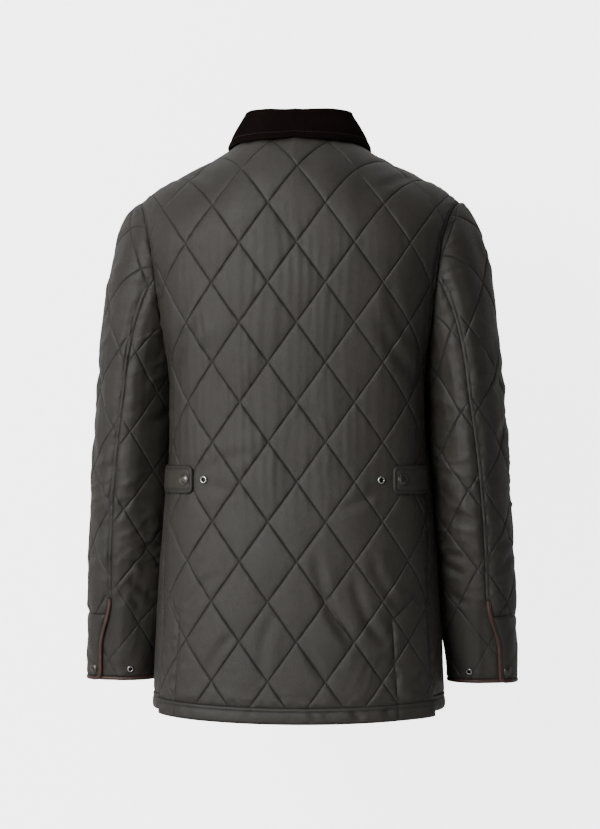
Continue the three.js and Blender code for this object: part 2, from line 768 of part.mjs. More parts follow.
// The back's edge: the side seam, and below the vent's top a little short of it.
function backEdge(height) {
  return sideSeam(height) - VENT.recede * smoothstep(VENT.top - height, 0, 40);
}

function backSurface(u, v) {
  const edge = backEdge(Math.min(v, VENT.top));
  const point = torsoPoint(u, v);
  const kick = v < VENT.top ? ventKick(u, v, edge) : 0;
  if (kick === 0) return point;
  const out = new THREE.Vector3(point.x * VENT.sideways, point.y, 0).normalize();
  return point.addScaledVector(out, kick);
}

function asPoint({ round, height, place, normal }) {
  return { u: round, v: height, place, normal };
}

// The lower edge of the back and of the fronts, by the way round from the centre back.
function backHem(round) {
  return lerp(HEM.side, HEM.back, Math.cos((round / sideSeam(HEM.side)) * (Math.PI / 2)));
}

function frontHem(round) {
  const [from, to] = [sideSeam(HEM.side), levelAt(HEM.side).total];
  return lerp(HEM.frontSide, HEM.front, Math.sin((clamp((round - from) / (to - from), 0, 1) * Math.PI) / 2));
}

const backCorner = HEM.side + HEM.band;
const frontCorner = HEM.frontSide + HEM.band;

function acrossX({ u, v, place, normal }) {
  const flip = (vector) => vector && new THREE.Vector3(-vector.x, vector.y, vector.z);
  return { u: -u, v, place: flip(place), normal: flip(normal) };
}

// The heights of the side seam's points above the vent, which back and front share, and of those below.
const seamHeights = steps(SEAM_STEPS.side, (t) => lerp(ARMHOLE.bottom, VENT.top, (1 - t) ** SEAM_CROWDING));

function ventHeights(corner) {
  return steps(4, (t) => lerp(corner, VENT.top, t)).slice(0, -1);
}

// The padding lies flatter where a sleeve, a tab, the placket or the collar rests on it.
function pressedBySleeve(round, height) {
  const { share, off, from, to } = PRESSED.bySleeve;
  const away = Math.abs(Math.abs(round) - sideSeam(Math.min(height, ARMHOLE.bottom)) - off);
  return 1 - share * (1 - smoothstep(away, from, to));
}

function backPuff(u, v) {
  const { underTab, byCollar, bySocket } = PRESSED;
  const fromTab = smoothstep(Math.abs(v - TAB.height), underTab.from, underTab.to);
  const onTab = smoothstep(Math.abs(u), TAB.end - underTab.beyond, TAB.end) * (1 - fromTab);
  const atCollar = smoothstep(v, byCollar.from, byCollar.to);
  const fromSocket = Math.hypot(Math.abs(u) - TAB_SNAPS.post, v - TAB.height);
  const atSocket = 1 - smoothstep(fromSocket, SNAP.press, SNAP.pressReach);
  const flatter = (1 - underTab.share * onTab) * (1 - byCollar.share * atCollar) * (1 - bySocket.share * atSocket);
  return puffAt(u, v) * pressedBySleeve(u, v) * flatter;
}

function backOutline() {
  const bottom = backEdge(backCorner);
  const right = [
    ...[...ventHeights(backCorner), ...seamHeights.slice(0, -1)].map((v) => ({ u: backEdge(v), v })),
    ...rimRun([...rim.back].reverse(), -1).map(asPoint),
    ...steps(SEAM_STEPS.shoulder, (t) => asPoint(shoulderSeam(t, true))).slice(1),
    ...steps(SEAM_STEPS.neck, (t) => asPoint(neckAt(1 - t, 0))).slice(1),
  ];
  const left = right.slice(0, -1).map(acrossX).reverse();
  const hem = steps(SEAM_STEPS.hem, (t) => {
    const u = lerp(-bottom, bottom, t);
    return { u, v: backHem(u) + HEM.band };
  }).slice(1, -1);
  return [...right, ...left, ...hem];
}

addMesh("back", quiltedWall({ outline: backOutline(), surface: backSurface, puff: backPuff }), cloth);

// The right front, by the way round from the centre front (0) to the side seam (below 0).
function frontSurface(u, v) {
  return torsoPoint(levelAt(v).total + u, v);
}

function fromFront({ round, height, place, normal }) {
  return { u: round - levelAt(height).total, v: height, place, normal };
}

const FRONT_START = { u: 0, height: QUILT_START.height };

function frontPuff(u, v) {
  const { underPlacket, byFrontCollar } = PRESSED;
  const pastPlacket = Math.abs(u) - PLACKET.halfWidth;
  const onPlacket = 1 - smoothstep(pastPlacket, underPlacket.from, underPlacket.to);
  const atCollar = smoothstep(v - FRONT_NECK_HEIGHT, byFrontCollar.from, byFrontCollar.to);
  const flatter = (1 - underPlacket.share * onPlacket) * (1 - byFrontCollar.share * atCollar);
  return puffAt(u, v, FRONT_START) * pressedBySleeve(u + levelAt(v).total, v) * flatter;
}

function frontOutline() {
  const bottom = fromFront({ round: sideSeam(frontCorner), height: frontCorner }).u;
  const total = levelAt(frontCorner).total;
  const side = [...ventHeights(frontCorner), ...seamHeights.slice(0, -1)].reverse();
  return [
    ...side.map((height) => fromFront({ round: sideSeam(height), height })),
    ...steps(SEAM_STEPS.hem / 2, (t) => {
      const u = lerp(bottom, 0, t);
      return { u, v: frontHem(u + total) + HEM.band };
    }).slice(1),
    ...steps(SEAM_STEPS.side, (t) => ({ u: 0, v: lerp(HEM.front + HEM.band, FRONT_NECK_HEIGHT, t) })).slice(1),
    ...steps(SEAM_STEPS.neck, (t) => fromFront(neckAt(2 - t, 0, true))).slice(1),
    ...steps(SEAM_STEPS.shoulder, (t) => fromFront(shoulderSeam(1 - t, false))).slice(1, -1),
    ...rimRun(rim.front, -1).map(fromFront),
  ];
}

const frontGeometry = quiltedWall({
  outline: frontOutline(),
  surface: frontSurface,
  puff: frontPuff,
  start: FRONT_START,
});
addMesh("front_right", frontGeometry, cloth);
addMesh("front_left", mirrored(frontGeometry), cloth);

// Hem bands

function hemBand(surface, from, to, columns, hemAt) {
  const place = (s, t) => {
    const u = lerp(from, to, s);
    return { u, v: hemAt(u) + t * (HEM.band - GAP) };
  };
  return wallOn(surface, columns, 2, place, WALL + 1, () => -WALL);
}

const backBandEnd = backEdge(HEM.side);
const totalAtHem = levelAt(HEM.side).total;
const frontHemAt = (u) => frontHem(u + totalAtHem);
addMesh("hem_band_back", hemBand(backSurface, -backBandEnd, backBandEnd, BAND_COLUMNS.back, backHem), bandCloth);
const frontBandEnd = sideSeam(HEM.side) + GAP / 2 - totalAtHem;
const frontBand = hemBand(frontSurface, frontBandEnd, -GAP / 2, BAND_COLUMNS.front, frontHemAt);
addMesh("hem_band_front_right", frontBand, bandCloth);
addMesh("hem_band_front_left", mirrored(frontBand), bandCloth);

// Upper and under sleeves

const UPPER_START = { u: 0, height: QUILT_START.height };
const UNDER_START = { u: 10, height: QUILT_START.height };

function rearSeam(v) {
  const atCap = clamp((v - CAP.start) / (rim.back[ARMHOLE.rearSeam].v - CAP.start), 0, 1);
  return lerp(read(SLEEVE, "seam", Math.min(v, CAP.start)), rim.back[ARMHOLE.rearSeam].share, atCap);
}

function frontSeam(v) {
  const top = rim.front[ARMHOLE.frontSeam];
  return lerp(CUFF.frontSeam, top.share, smoothstep(v, CUFF.height, top.v));
}

function sleeveSeam(seam, from, to) {
  return steps(SEAM_STEPS.sleeve, (t) => {
    const v = from < to ? lerp(to, from, (1 - t) ** SEAM_CROWDING) : lerp(from, to, t ** SEAM_CROWDING);
    return { share: seam(v), v };
  });
}

// How far the vent's edge has moved away from the rear seam, down to the rounded corner.
function ventShift(v) {
  const down = clamp((CUFF.ventTop - v) / (CUFF.ventTop - CUFF.height), 0, 1);
  return GAP + CUFF.ventCurve * down ** CUFF.ventBend;
}

function ventEdge(v) {
  return upperPlace(rearSeam(v), v).u + ventShift(v);
}

// The cuff band and its binding lie over the end of the under sleeve, which is let in behind them.
function bandSurface(u, v) {
  const start = upperPlace(rearSeam(v), v).u;
  const over = 1 - smoothstep(u - start - CUFF.overlap, BAND_OVER.from, BAND_OVER.to);
  const lift = CUFF.lift * over * smoothstep(CUFF.ventTop - v, 0, BAND_OVER.fade);
  return lifted(upperSurface, u, v, lift);
}

function underSurface(u, v) {
  const start = underPlace(rearSeam(v), v).u;
  const below = smoothstep(CUFF.seam + LET_IN.above - v, 0, LET_IN.fade);
  const letIn = smoothstep(u - start, LET_IN.from, LET_IN.to) * below;
  return lifted(plainUnderSurface, u, v, -CUFF.lift * letIn);
}

function lifted(surface, u, v, lift) {
  const point = surface(u, v);
  if (lift === 0) return point;
  return point.addScaledVector(normalOf(surface)(u, v), lift);
}

const bindingEdge = [
  ...steps(BINDING_STEPS.vent, (t) => {
    const v = lerp(CUFF.ventTop, CUFF.height + CUFF.corner, t);
    return { u: ventEdge(v), v };
  }),
  ...steps(BINDING_STEPS.corner, (t) => {
    const angle = (t * Math.PI) / 2;
    const u = ventEdge(CUFF.height + CUFF.corner) + CUFF.corner * (1 - Math.cos(angle));
    return { u, v: CUFF.height + CUFF.corner * (1 - Math.sin(angle)) };
  }).slice(1),
  ...steps(BINDING_STEPS.hem, (t) => {
    const from = ventEdge(CUFF.height + CUFF.corner) + CUFF.corner;
    const to = upperPlace(frontSeam(CUFF.height), CUFF.height).u - GAP / 2;
    return { u: lerp(from, to, t), v: CUFF.height };
  }).slice(1),
];

// A point this far to the left of a run of fabric points, going along it.
function besideEdge(edge, i, by) {
  const from = edge[Math.max(i - 1, 0)];
  const to = edge[Math.min(i + 1, edge.length - 1)];
  const length = Math.hypot(to.u - from.u, to.v - from.v);
  return { u: edge[i].u - ((to.v - from.v) / length) * by, v: edge[i].v + ((to.u - from.u) / length) * by };
}

function bindingOn(surface, edge) {
  const columns = edge.length - 1;
  const place = (s, t) => besideEdge(edge, Math.round(s * columns), t * BINDING.width);
  const lift = BINDING.proud - BINDING.thickness;
  return wallOn(surface, columns, BINDING_STEPS.rows, place, BINDING.thickness, () => lift);
}

const insideBinding = bindingEdge.map((_, i) => besideEdge(bindingEdge, i, BINDING.width + GAP));

function insideVent(v) {
  return { u: ventEdge(v) + BINDING.width + GAP, v };
}

function upperOutline() {
  const end = upperPlace(frontSeam(CUFF.seam), CUFF.seam).u;
  const { u: start } = insideVent(CUFF.seam);
  return [
    ...steps(CUFF.columns, (t) => ({ u: lerp(start, end, t), v: CUFF.seam })).slice(0, -1),
    ...sleeveSeam(frontSeam, CUFF.seam, rim.front[ARMHOLE.frontSeam].v).slice(0, -1).map(onUpper),
    ...rimRun(upperRim, 1).map(onUpper),
    ...sleeveSeam(rearSeam, rim.back[ARMHOLE.rearSeam].v, CUFF.ventTop).slice(1, -1).map(onUpper),
    { u: upperPlace(rearSeam(CUFF.ventTop), CUFF.ventTop).u, v: CUFF.ventTop + 3 * GAP },
    insideVent(CUFF.ventTop + 3 * GAP),
    insideVent((CUFF.ventTop + CUFF.seam) / 2),
  ];
}

function onUpper({ share, v, place, normal }) {
  return { ...upperPlace(share, v), place, normal };
}

function onUnder({ share, v, place, normal }) {
  return { ...underPlace(share, v), place, normal };
}

const upperRim = [
  ...rim.front.slice(0, ARMHOLE.frontSeam + 1).reverse(),
  ...rim.back.slice(1, ARMHOLE.rearSeam + 1),
];
const underRim = [
  ...rim.back.slice(ARMHOLE.rearSeam),
  ...rim.front.slice(ARMHOLE.frontSeam, -1).reverse(),
];

const bottom = CUFF.height + BINDING.width + GAP / 2;
const lowFrontSeam = keptOf(sleeveSeam(frontSeam, bottom, CUFF.seam), LOW_SEAM_KEEP.front);

function keptOf(points, every) {
  return points.filter((_, i) => i % every === 0);
}

function underOutline() {
  const from = underPlace(frontSeam(bottom), bottom).u;
  const to = underPlace(rearSeam(bottom), bottom).u + CUFF.overlap;
  return [
    ...steps(CUFF.underColumns, (t) => ({ u: lerp(from, to, t), v: bottom })),
    { u: underPlace(rearSeam(CUFF.seam), CUFF.seam).u + CUFF.overlap, v: CUFF.seam },
    ...keptOf(sleeveSeam(rearSeam, CUFF.seam, CUFF.ventTop), LOW_SEAM_KEEP.rear).map(onUnder),
    ...sleeveSeam(rearSeam, CUFF.ventTop, rim.back[ARMHOLE.rearSeam].v).slice(1, -1).map(onUnder),
    ...rimRun(underRim, 1).map(onUnder),
    ...sleeveSeam(frontSeam, rim.front[ARMHOLE.frontSeam].v, CUFF.seam).slice(1).map(onUnder),
    ...lowFrontSeam.slice(1, -1).reverse().map(onUnder),
  ];
}

function upperPuff(u, v) {
  const { share, from, to } = PRESSED.upperByBody;
  return puffAt(u, v, UPPER_START) * (1 - share * smoothstep(0.5 + u / roundAt(v), from, to));
}

function underPuff(u, v) {
  const { underByBody, atCuff } = PRESSED;
  const away = smoothstep(Math.abs(u / roundAt(v) - underByBody.middle), underByBody.from, underByBody.to);
  const start = underPlace(rearSeam(v), v).u;
  const low = smoothstep(CUFF.ventTop + atCuff.above - v, 0, atCuff.fade);
  const letIn = smoothstep(u - start, atCuff.from, atCuff.to) * low;
  return puffAt(u, v, UNDER_START) * (1 - underByBody.share * (1 - away)) * (1 - letIn);
}

const upper = quiltedWall({
  outline: upperOutline(), surface: upperSurface, puff: upperPuff, start: UPPER_START,
});
const under = quiltedWall({
  outline: underOutline(), surface: underSurface, puff: underPuff, start: UNDER_START,
});
addMesh("upper_sleeve_right", upper, cloth);
addMesh("upper_sleeve_left", mirrored(upper), cloth);
addMesh("under_sleeve_right", under, cloth);
addMesh("under_sleeve_left", mirrored(under), cloth);

// Cuff bands and their leather bindings

// The band's rear edge at a height, a seam's gap inside its binding.
function bandEdge(v) {
  const rear = insideBinding.slice(0, -BINDING_STEPS.hem);
  const last = rear.length - 1;
  const found = rear.findIndex((point) => point.v < v);
  const at = found < 0 ? last : Math.max(found, 1);
  const [from, to] = [rear[at - 1], rear[at]];
  return lerp(from.u, to.u, clamp((v - from.v) / (to.v - from.v), -1, 1));
}

function bandPlace(s, t) {
  const v = lerp(CUFF.height + BINDING.width + GAP, CUFF.seam - GAP, t ** CUFF.rowCrowding);
  return { u: lerp(bandEdge(v), upperPlace(frontSeam(v), v).u - GAP / 2, s), v };
}

const band = wallOn(bandSurface, CUFF.columns, CUFF.rows, bandPlace, WALL, () => -WALL);
addMesh("cuff_band_right", band, bandCloth);
addMesh("cuff_band_left", mirrored(band), bandCloth);

const bandBinding = bindingOn(bandSurface, bindingEdge);
addMesh("cuff_binding_right", bandBinding, leather);
addMesh("cuff_binding_left", mirrored(bandBinding), leather);

const underEdge = steps(CUFF.underColumns, (t) => {
  const from = underPlace(frontSeam(CUFF.height), CUFF.height).u + GAP / 2;
  const to = underPlace(rearSeam(CUFF.height), CUFF.height).u + CUFF.overlap;
  return { u: lerp(from, to, t), v: CUFF.height };
});
const underBinding = bindingOn(underSurface, underEdge);
addMesh("under_cuff_binding_right", underBinding, leather);
addMesh("under_cuff_binding_left", mirrored(underBinding), leather);

// Collar

// The neckline, from the centre back (0) over the side of the neck (1) to the centre front (2), or this
// far out from it.
function neckAt(share, reach, isFront = share > 1) {
  const side = NECK.halfWidth + reach;
  if (!isFront) {
    const turnBack = (share * Math.PI) / 2;
    return onShoulder(side * Math.sin(turnBack), (NECK.backDepth + reach) * Math.cos(turnBack), true);
  }
  const from = onShoulder(side, 0, false);
  const turnFront = ((share - 1) * Math.PI) / 2;
  return {
    round: lerp(levelAt(FROZEN).total, from.round, Math.cos(turnFront)),
    height: lerp(FRONT_NECK_HEIGHT - reach, from.height, 1 - Math.sin(turnFront)),
  };
}

function neckPoint(share, reach, lift = 0) {
  const { round, height } = neckAt(Math.abs(share), reach);
  const point = torsoPoint(round, height).addScaledVector(normalOf(torsoPoint)(round, height), lift);
  if (share < 0) point.x *= -1;
  return point;
}

// Where the stand's outer face is, this far up from the neckline, and the level way out from it.
function standFrame(share) {
  const foot = neckPoint(share, 0);
  const step = 0.02;
  const ahead = neckPoint(Math.min(share + step, 2), 0);
  const behind = neckPoint(Math.max(share - step, -2), 0);
  const out = ahead.clone().sub(behind).cross(new THREE.Vector3(0, 0, -1)).normalize().negate();
  const up = new THREE.Vector3(0, 0, 1).addScaledVector(out, -COLLAR.lean).normalize();
  return { foot, out, up };
}

function standPoint({ foot, out, up }, outBy, upBy) {
  return foot.clone().addScaledVector(out, outBy).addScaledVector(up, upBy);
}

// The stand's foot meets the edge of the body, and its wall there follows the body's own.
function standFoot({ share }) {
  const out = neckPoint(share, -COLLAR.inset);
  const { round, height } = neckAt(Math.abs(share), -COLLAR.inset);
  const normal = normalOf(torsoPoint)(round, height);
  if (share < 0) normal.x *= -1;
  return { out, back: out.clone().addScaledVector(normal, -COLLAR.standWall) };
}

function collarWall(columns, rows, place) {
  const last = 2 - COLLAR.frontGap / 100;
  const frames = steps(columns, (t) => {
    const share = clamp(lerp(-2, 2, t), -last, last);
    return { ...standFrame(share), share };
  });
  const outer = (i, j) => place(frames[i], j).out;
  const inner = (i, j) => place(frames[i], j).back;
  return gridWall(columns, rows, outer, inner);
}

// The collar stands highest over the sides of the neck.
function standHeight(share) {
  return COLLAR.stand + COLLAR.sideRise * Math.sin((Math.abs(share) * Math.PI) / 2);
}

const standShares = [0, COLLAR.foot / COLLAR.stand, 1];
const stand = collarWall(COLLAR.columns, standShares.length - 1, (frame, j) => {
  if (j === 0) return standFoot(frame);
  const up = standShares[j] * standHeight(frame.share);
  const back = standPoint(frame, -COLLAR.inset - COLLAR.standWall, up);
  return { out: standPoint(frame, -COLLAR.inset, up), back };
});
addMesh("collar_stand", stand, corduroy);

// The fall's outer profile at one place round the neck, from under the roll's inner edge down to the body.
function fallProfile(frame) {
  const reach = read(FALL, "reach", Math.abs(frame.share) / 2);
  const top = standHeight(frame.share);
  const over = FALL_ROLL.map(({ out, up }) => standPoint(frame, out - COLLAR.inset, top + up));
  const from = over[over.length - 1];
  const ahead = smoothstep(Math.abs(frame.share), COLLAR.placketFrom, COLLAR.placketTo);
  const overPlacket = COLLAR.overPlacket * ahead;
  const to = neckPoint(frame.share, reach, COLLAR.lift + overPlacket);
  const bulge = frame.out.clone().multiplyScalar(COLLAR.bulge);
  const leaf = steps(COLLAR.leafRows, (t) =>
    from.clone().lerp(to, t).addScaledVector(bulge, Math.sin(Math.PI * t)),
  ).slice(1);
  return [...over, ...leaf];
}

const fallProfiles = new Map();

function fallAt(frame, j) {
  if (!fallProfiles.has(frame.share)) fallProfiles.set(frame.share, fallProfile(frame));
  const profile = fallProfiles.get(frame.share);
  const last = profile.length - 1;
  const k = last - j;
  const along = profile[Math.max(k - 1, 0)].clone().sub(profile[Math.min(k + 1, last)]).normalize();
  const side = new THREE.Vector3().crossVectors(new THREE.Vector3(0, 0, 1), frame.out).normalize();
  const out = side.cross(along).normalize();
  return { out: profile[k], back: profile[k].clone().addScaledVector(out, -COLLAR.fallWall) };
}

const fallRows = FALL_ROLL.length - 1 + COLLAR.leafRows;
addMesh("collar_fall", collarWall(COLLAR.columns, fallRows, fallAt), corduroy);

// Waist tabs

function tabPlace(seam, s, t) {
  const u = lerp(seam - GAP, TAB.end, s);
  const rest = clamp((TAB.end + TAB.corner - u) / TAB.corner, 0, 1);
  const half = TAB.width / 2 - TAB.corner * (1 - Math.sqrt(1 - rest ** 2));
  return { u, v: TAB.height + lerp(-half, half, t) };
}

const tabSeam = sideSeam(TAB.height);

function tabLift(u) {
  return TAB.lift * smoothstep(tabSeam - u, TAB_RISE.before, TAB_RISE.after) + GAP;
}

const tabAt = (s, t) => tabPlace(tabSeam, Math.cos((s * Math.PI) / 2), t);
const tab = wallOn(backSurface, TAB.columns, TAB.rows, tabAt, TAB.wall, tabLift);
addMesh("tab_right", tab, bandCloth);
addMesh("tab_left", mirrored(tab), bandCloth);

// Front placket

function placketPlace(s, t) {
  const u = lerp(-PLACKET.halfWidth, PLACKET.halfWidth, s);
  const bottom = frontHemAt(-Math.abs(u));
  return { u, v: lerp(bottom, FRONT_NECK_HEIGHT - PLACKET.top, t) };
}

function wholeFront(u, v) {
  const point = frontSurface(-Math.abs(u), v);
  if (u > 0) point.x *= -1;
  return point;
}

const placket = wallOn(
  wholeFront, PLACKET.columns, PLACKET.rows, placketPlace, PLACKET.wall, () => PLACKET.lift,
);
addMesh("front_placket", placket, bandCloth);

// Snaps

const SNAP_SIDES = 18;

// A closed solid turned round +Z from rising or falling rings, with its first and last points on the axis.
function turned(profile) {
  const points = [];
  profile.forEach(({ radius, height }) => {
    const count = radius === 0 ? 1 : SNAP_SIDES;
    for (let i = 0; i < count; i++) {
      const angle = (i / count) * 2 * Math.PI;
      points.push(new THREE.Vector3(radius * Math.cos(angle), radius * Math.sin(angle), height));
    }
  });
  const faces = [];
  const last = points.length - 1;
  const at = (ring, i) => 1 + (ring - 1) * SNAP_SIDES + (i % SNAP_SIDES);
  for (let i = 0; i < SNAP_SIDES; i++) {
    faces.push([0, at(1, i + 1), at(1, i)]);
    faces.push([last, at(profile.length - 2, i), at(profile.length - 2, i + 1)]);
    for (let ring = 1; ring < profile.length - 2; ring++) {
      faces.push([at(ring, i), at(ring, i + 1), at(ring + 1, i + 1)]);
      faces.push([at(ring, i), at(ring + 1, i + 1), at(ring + 1, i)]);
    }
  }
  return indexedGeometry(points, faces);
}

function snapCap(radius) {
  return turned([
    { radius: 0, height: 0 },
    { radius, height: 0 },
    { radius, height: SNAP.capHeight * 0.5 },
    { radius: radius * 0.82, height: SNAP.capHeight * 0.9 },
    { radius: 0, height: SNAP.capHeight },
  ]);
}

function snapSocket(radius) {
  return turned([
    { radius: 0, height: 0 },
    { radius, height: 0 },
    { radius, height: SNAP.postHeight * 0.7 },
    { radius: radius * 0.85, height: SNAP.postHeight },
    { radius: radius * 0.6, height: SNAP.postHeight },
    { radius: radius * 0.45, height: SNAP.postHeight * 0.4 },
    { radius: 0, height: SNAP.postHeight * 0.4 },
  ]);
}

// Sets a snap on a surface, lift above it, facing out.
function placedSnap(geometry, surface, { u, v }, lift) {
  const out = normalOf(surface)(u, v);
  const turnTo = new THREE.Quaternion().setFromUnitVectors(new THREE.Vector3(0, 0, 1), out);
  const point = surface(u, v).addScaledVector(out, lift);
  const copy = geometry.clone().applyQuaternion(turnTo);
  return copy.translate(point.x, point.y, point.z);
}

function addPair(name, geometry, material) {
  addMesh(`${name}_right`, geometry, material);
  addMesh(`${name}_left`, mirrored(geometry), material);
}

const onTab = tabLift(TAB_SNAPS.cap) + TAB.wall + GAP;
const tabCap = { u: TAB_SNAPS.cap, v: TAB.height };
const tabSocket = { u: TAB_SNAPS.post, v: TAB.height };
addPair("tab_cap", placedSnap(snapCap(SNAP.cap), backSurface, tabCap, onTab), snapMetal);
addPair("tab_socket", placedSnap(snapSocket(SNAP.post), backSurface, tabSocket, SNAP.overPuff), snapMetal);

const cuffSnapHeight = CUFF.height + CUFF_SNAPS.rise;
const cuffSeam = (place) => place(rearSeam(cuffSnapHeight), cuffSnapHeight);
const cuffCap = { u: cuffSeam(upperPlace).u + CUFF_SNAPS.cap, v: cuffSnapHeight };
const cuffStud = { u: cuffSeam(underPlace).u + CUFF_SNAPS.post, v: cuffSnapHeight };
addPair("cuff_cap", placedSnap(snapCap(SNAP.cuffCap), bandSurface, cuffCap, GAP), snapMetal);
const cuffSocket = placedSnap(snapSocket(SNAP.cuffPost), underSurface, cuffStud, SNAP.overCuffPuff);
addPair("cuff_stud", cuffSocket, snapMetal);

for (let i = 0; i < PLACKET.snaps; i++) {
  const top = FRONT_NECK_HEIGHT - PLACKET.firstSnap;
  const v = lerp(top, HEM.front + PLACKET.lastSnap, i / (PLACKET.snaps - 1));
  const lift = PLACKET.lift + PLACKET.wall + GAP;
  addMesh(`front_cap_${i + 1}`, placedSnap(snapCap(SNAP.cap), wholeFront, { u: 0, v }, lift), snapMetal);
}

export default jacket;
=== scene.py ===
"""Builds the finished look of a diamond-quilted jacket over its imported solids: padded panels with their
stitching, a corduroy collar, leather-bound cuffs, waist tabs and snaps, on a pale studio sweep."""

import math

import bmesh
import bpy
import numpy as np
from bpy.props import FloatProperty, FloatVectorProperty, IntProperty, PointerProperty
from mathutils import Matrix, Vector
from mathutils.geometry import delaunay_2d_cdt
from mathutils.kdtree import KDTree


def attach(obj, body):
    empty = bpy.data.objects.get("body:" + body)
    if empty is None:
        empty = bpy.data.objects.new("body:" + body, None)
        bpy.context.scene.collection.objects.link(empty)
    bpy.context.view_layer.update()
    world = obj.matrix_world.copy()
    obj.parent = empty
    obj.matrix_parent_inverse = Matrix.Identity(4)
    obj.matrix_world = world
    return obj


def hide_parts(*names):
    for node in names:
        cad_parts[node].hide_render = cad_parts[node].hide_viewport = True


bl_info = {
    "name": "Quilted jacket",
    "version": (1, 0, 0),
    "blender": (4, 5, 0),
    "location": "3D View > Sidebar > Jacket",
    "description": "Builds a diamond-quilted jacket with a corduroy collar, bound cuffs and snaps",
    "category": "Add Mesh",
}

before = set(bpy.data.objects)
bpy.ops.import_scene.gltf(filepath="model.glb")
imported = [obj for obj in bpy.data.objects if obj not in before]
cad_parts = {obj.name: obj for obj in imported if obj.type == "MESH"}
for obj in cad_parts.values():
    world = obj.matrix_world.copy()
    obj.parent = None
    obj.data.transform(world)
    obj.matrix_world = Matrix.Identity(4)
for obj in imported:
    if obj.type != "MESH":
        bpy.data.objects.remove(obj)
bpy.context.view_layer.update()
MM = 0.001


def table(columns, *rows):
    """A short table as named columns. It is read by its first column, which rises."""
    return {name: np.array(values, float) for name, values in zip(columns.split(), zip(*rows))}


# The cut of the jacket, in millimetres: the same sizes as the solids have.
GAP = 0.3
WALL = 2.6
FRONT_NECK_HEIGHT = -78
HEM = {"back": -792, "side": -785, "front_side": -780, "front": -786, "band": 21}
NECK = {"half_width": 75, "back_depth": 72}
SHOULDER = {"rise": 30, "rise_share": 0.72, "least_reach": 6, "tip": 222}
ARMHOLE = {"bottom": -312, "centre_y": 5, "half_depth": 62, "rear_seam": 8 / 16, "front_seam": 13 / 16}
QUILT = {"width": 77.6, "height": 107}
QUILT_HEIGHT = -464.5
BACK_START = (7.5, QUILT_HEIGHT - 4)
CENTRE_START = (0, QUILT_HEIGHT)
SLEEVE_START = {"right": QUILT_HEIGHT - 12, "left": QUILT_HEIGHT - 38}
UNDER_SHIFT = {"across": 10, "down": 6}
VENT = {"top": -634, "reach": 60, "open_left": 1.5, "open_right": 9, "recede": 1.6, "recede_over": 40,
        "sideways": 0.35}
CUFF = {"height": -750, "seam": -657, "vent_top": -634, "overlap": 30, "curve": 15, "corner": 12, "lift": 2.1}
VENT_CURVE = {"from": 0.06, "to": 0.6, "curved": 0.8, "straight": 0.2}
BAND_OVER = {"from": 4, "to": 34, "below_vent": 18}
LET_IN = {"from": -14, "to": -2, "above_vent": 4, "over": 14}
BINDING = {"width": 5.5, "thickness": 3.2, "proud": 0.5, "cut": 11.5}
TAB = {"height": -466, "end": 138, "width": 37, "wall": 2.4, "corner": 8, "lift": 2.1}
PLACKET = {"half_width": 29, "wall": 2.4, "top": 20, "snaps": 6, "first": 64, "last": 90, "lift": 1.9}
COLLAR = {"stand": 32, "stand_wall": 3, "fall_wall": 2.6, "lift": 6.2, "lean": 0.12, "inset": 0.5, "bulge": 1.5,
          "over_placket": 2.6, "side_rise": 4, "front_gap": 0.006}
SNAP = {"cap": 7.5, "cap_height": 3, "post": 5, "post_height": 2.4, "cuff_cap": 6.8, "cuff_post": 4.4,
        "over_puff": 1.05, "over_cuff": 0.5}
TAB_SNAPS = {"cap": 150, "post": 121}
CUFF_SNAPS = {"rise": 17, "cap": 28, "post": -26}

TORSO = table(
    "height half_width back front pinch",
    (-790, 202, 140, 136, 0),
    (-690, 198, 138, 136, 0),
    (-600, 194, 135, 136, 0.005),
    (-500, 189, 131, 136, 0.02),
    (-400, 186, 129, 138, 0.05),
    (-320, 189, 132, 141, 0.08),
    (-250, 201, 136, 140, 0.06),
    (-170, 213, 137, 126, 0.02),
    (-82, 223, 132, 93, 0),
)
SQUARENESS = 0.045
PINCH_REACH = 70
RIDGE = table(
    "out height",
    (0, 22), (40, 15), (75, 0), (96, -14), (124, -30), (160, -48), (192, -64), (224, -85),
)
SIDE_SEAM = table("height y", (-790, -74), (-690, -76), (-560, -62), (-461, -50), (-400, -30), (-312, 5))
SLEEVE = table(
    "height inner outer back front seam",
    (-750, 205, 303, 0, 82, 0.28),
    (-700, 203, 302, -10, 83, 0.28),
    (-640, 200, 299.5, -24, 84, 0.281),
    (-560, 195, 295.5, -39, 84, 0.285),
    (-480, 189.5, 290.5, -50, 83, 0.283),
    (-400, 185, 286, -58, 82, 0.27),
    (-340, 183, 281.5, -62, 80, 0.255),
)
CAP = {"start": -340, "step": 10, "out": 0.87, "down": -0.5, "low_out": 0.35, "low_down": -0.94, "leave": 0.9,
       "pull": 0.62}
CUFF_FRONT_SEAM = 0.86
FALL = table("share reach", (0, 10), (0.45, 20), (0.75, 32), (1, 50))
FALL_ROLL = ((-3.4, 1.7), (-2.3, 4.5), (0.8, 5.7), (3.9, 4.2), (5.6, -0.5))


# Numbers along curves

def mix(a, b, t):
    return a + (b - a) * t


def smooth(x, low, high):
    t = np.clip((x - low) / (high - low), 0, 1)
    return t * t * (3 - 2 * t)


def hermite(start, end, leave, arrive, t):
    t2, t3 = t * t, t * t * t
    leaving = (2 * t3 - 3 * t2 + 1) * start + (t3 - 2 * t2 + t) * leave
    return leaving + (3 * t2 - 2 * t3) * end + (t3 - t2) * arrive


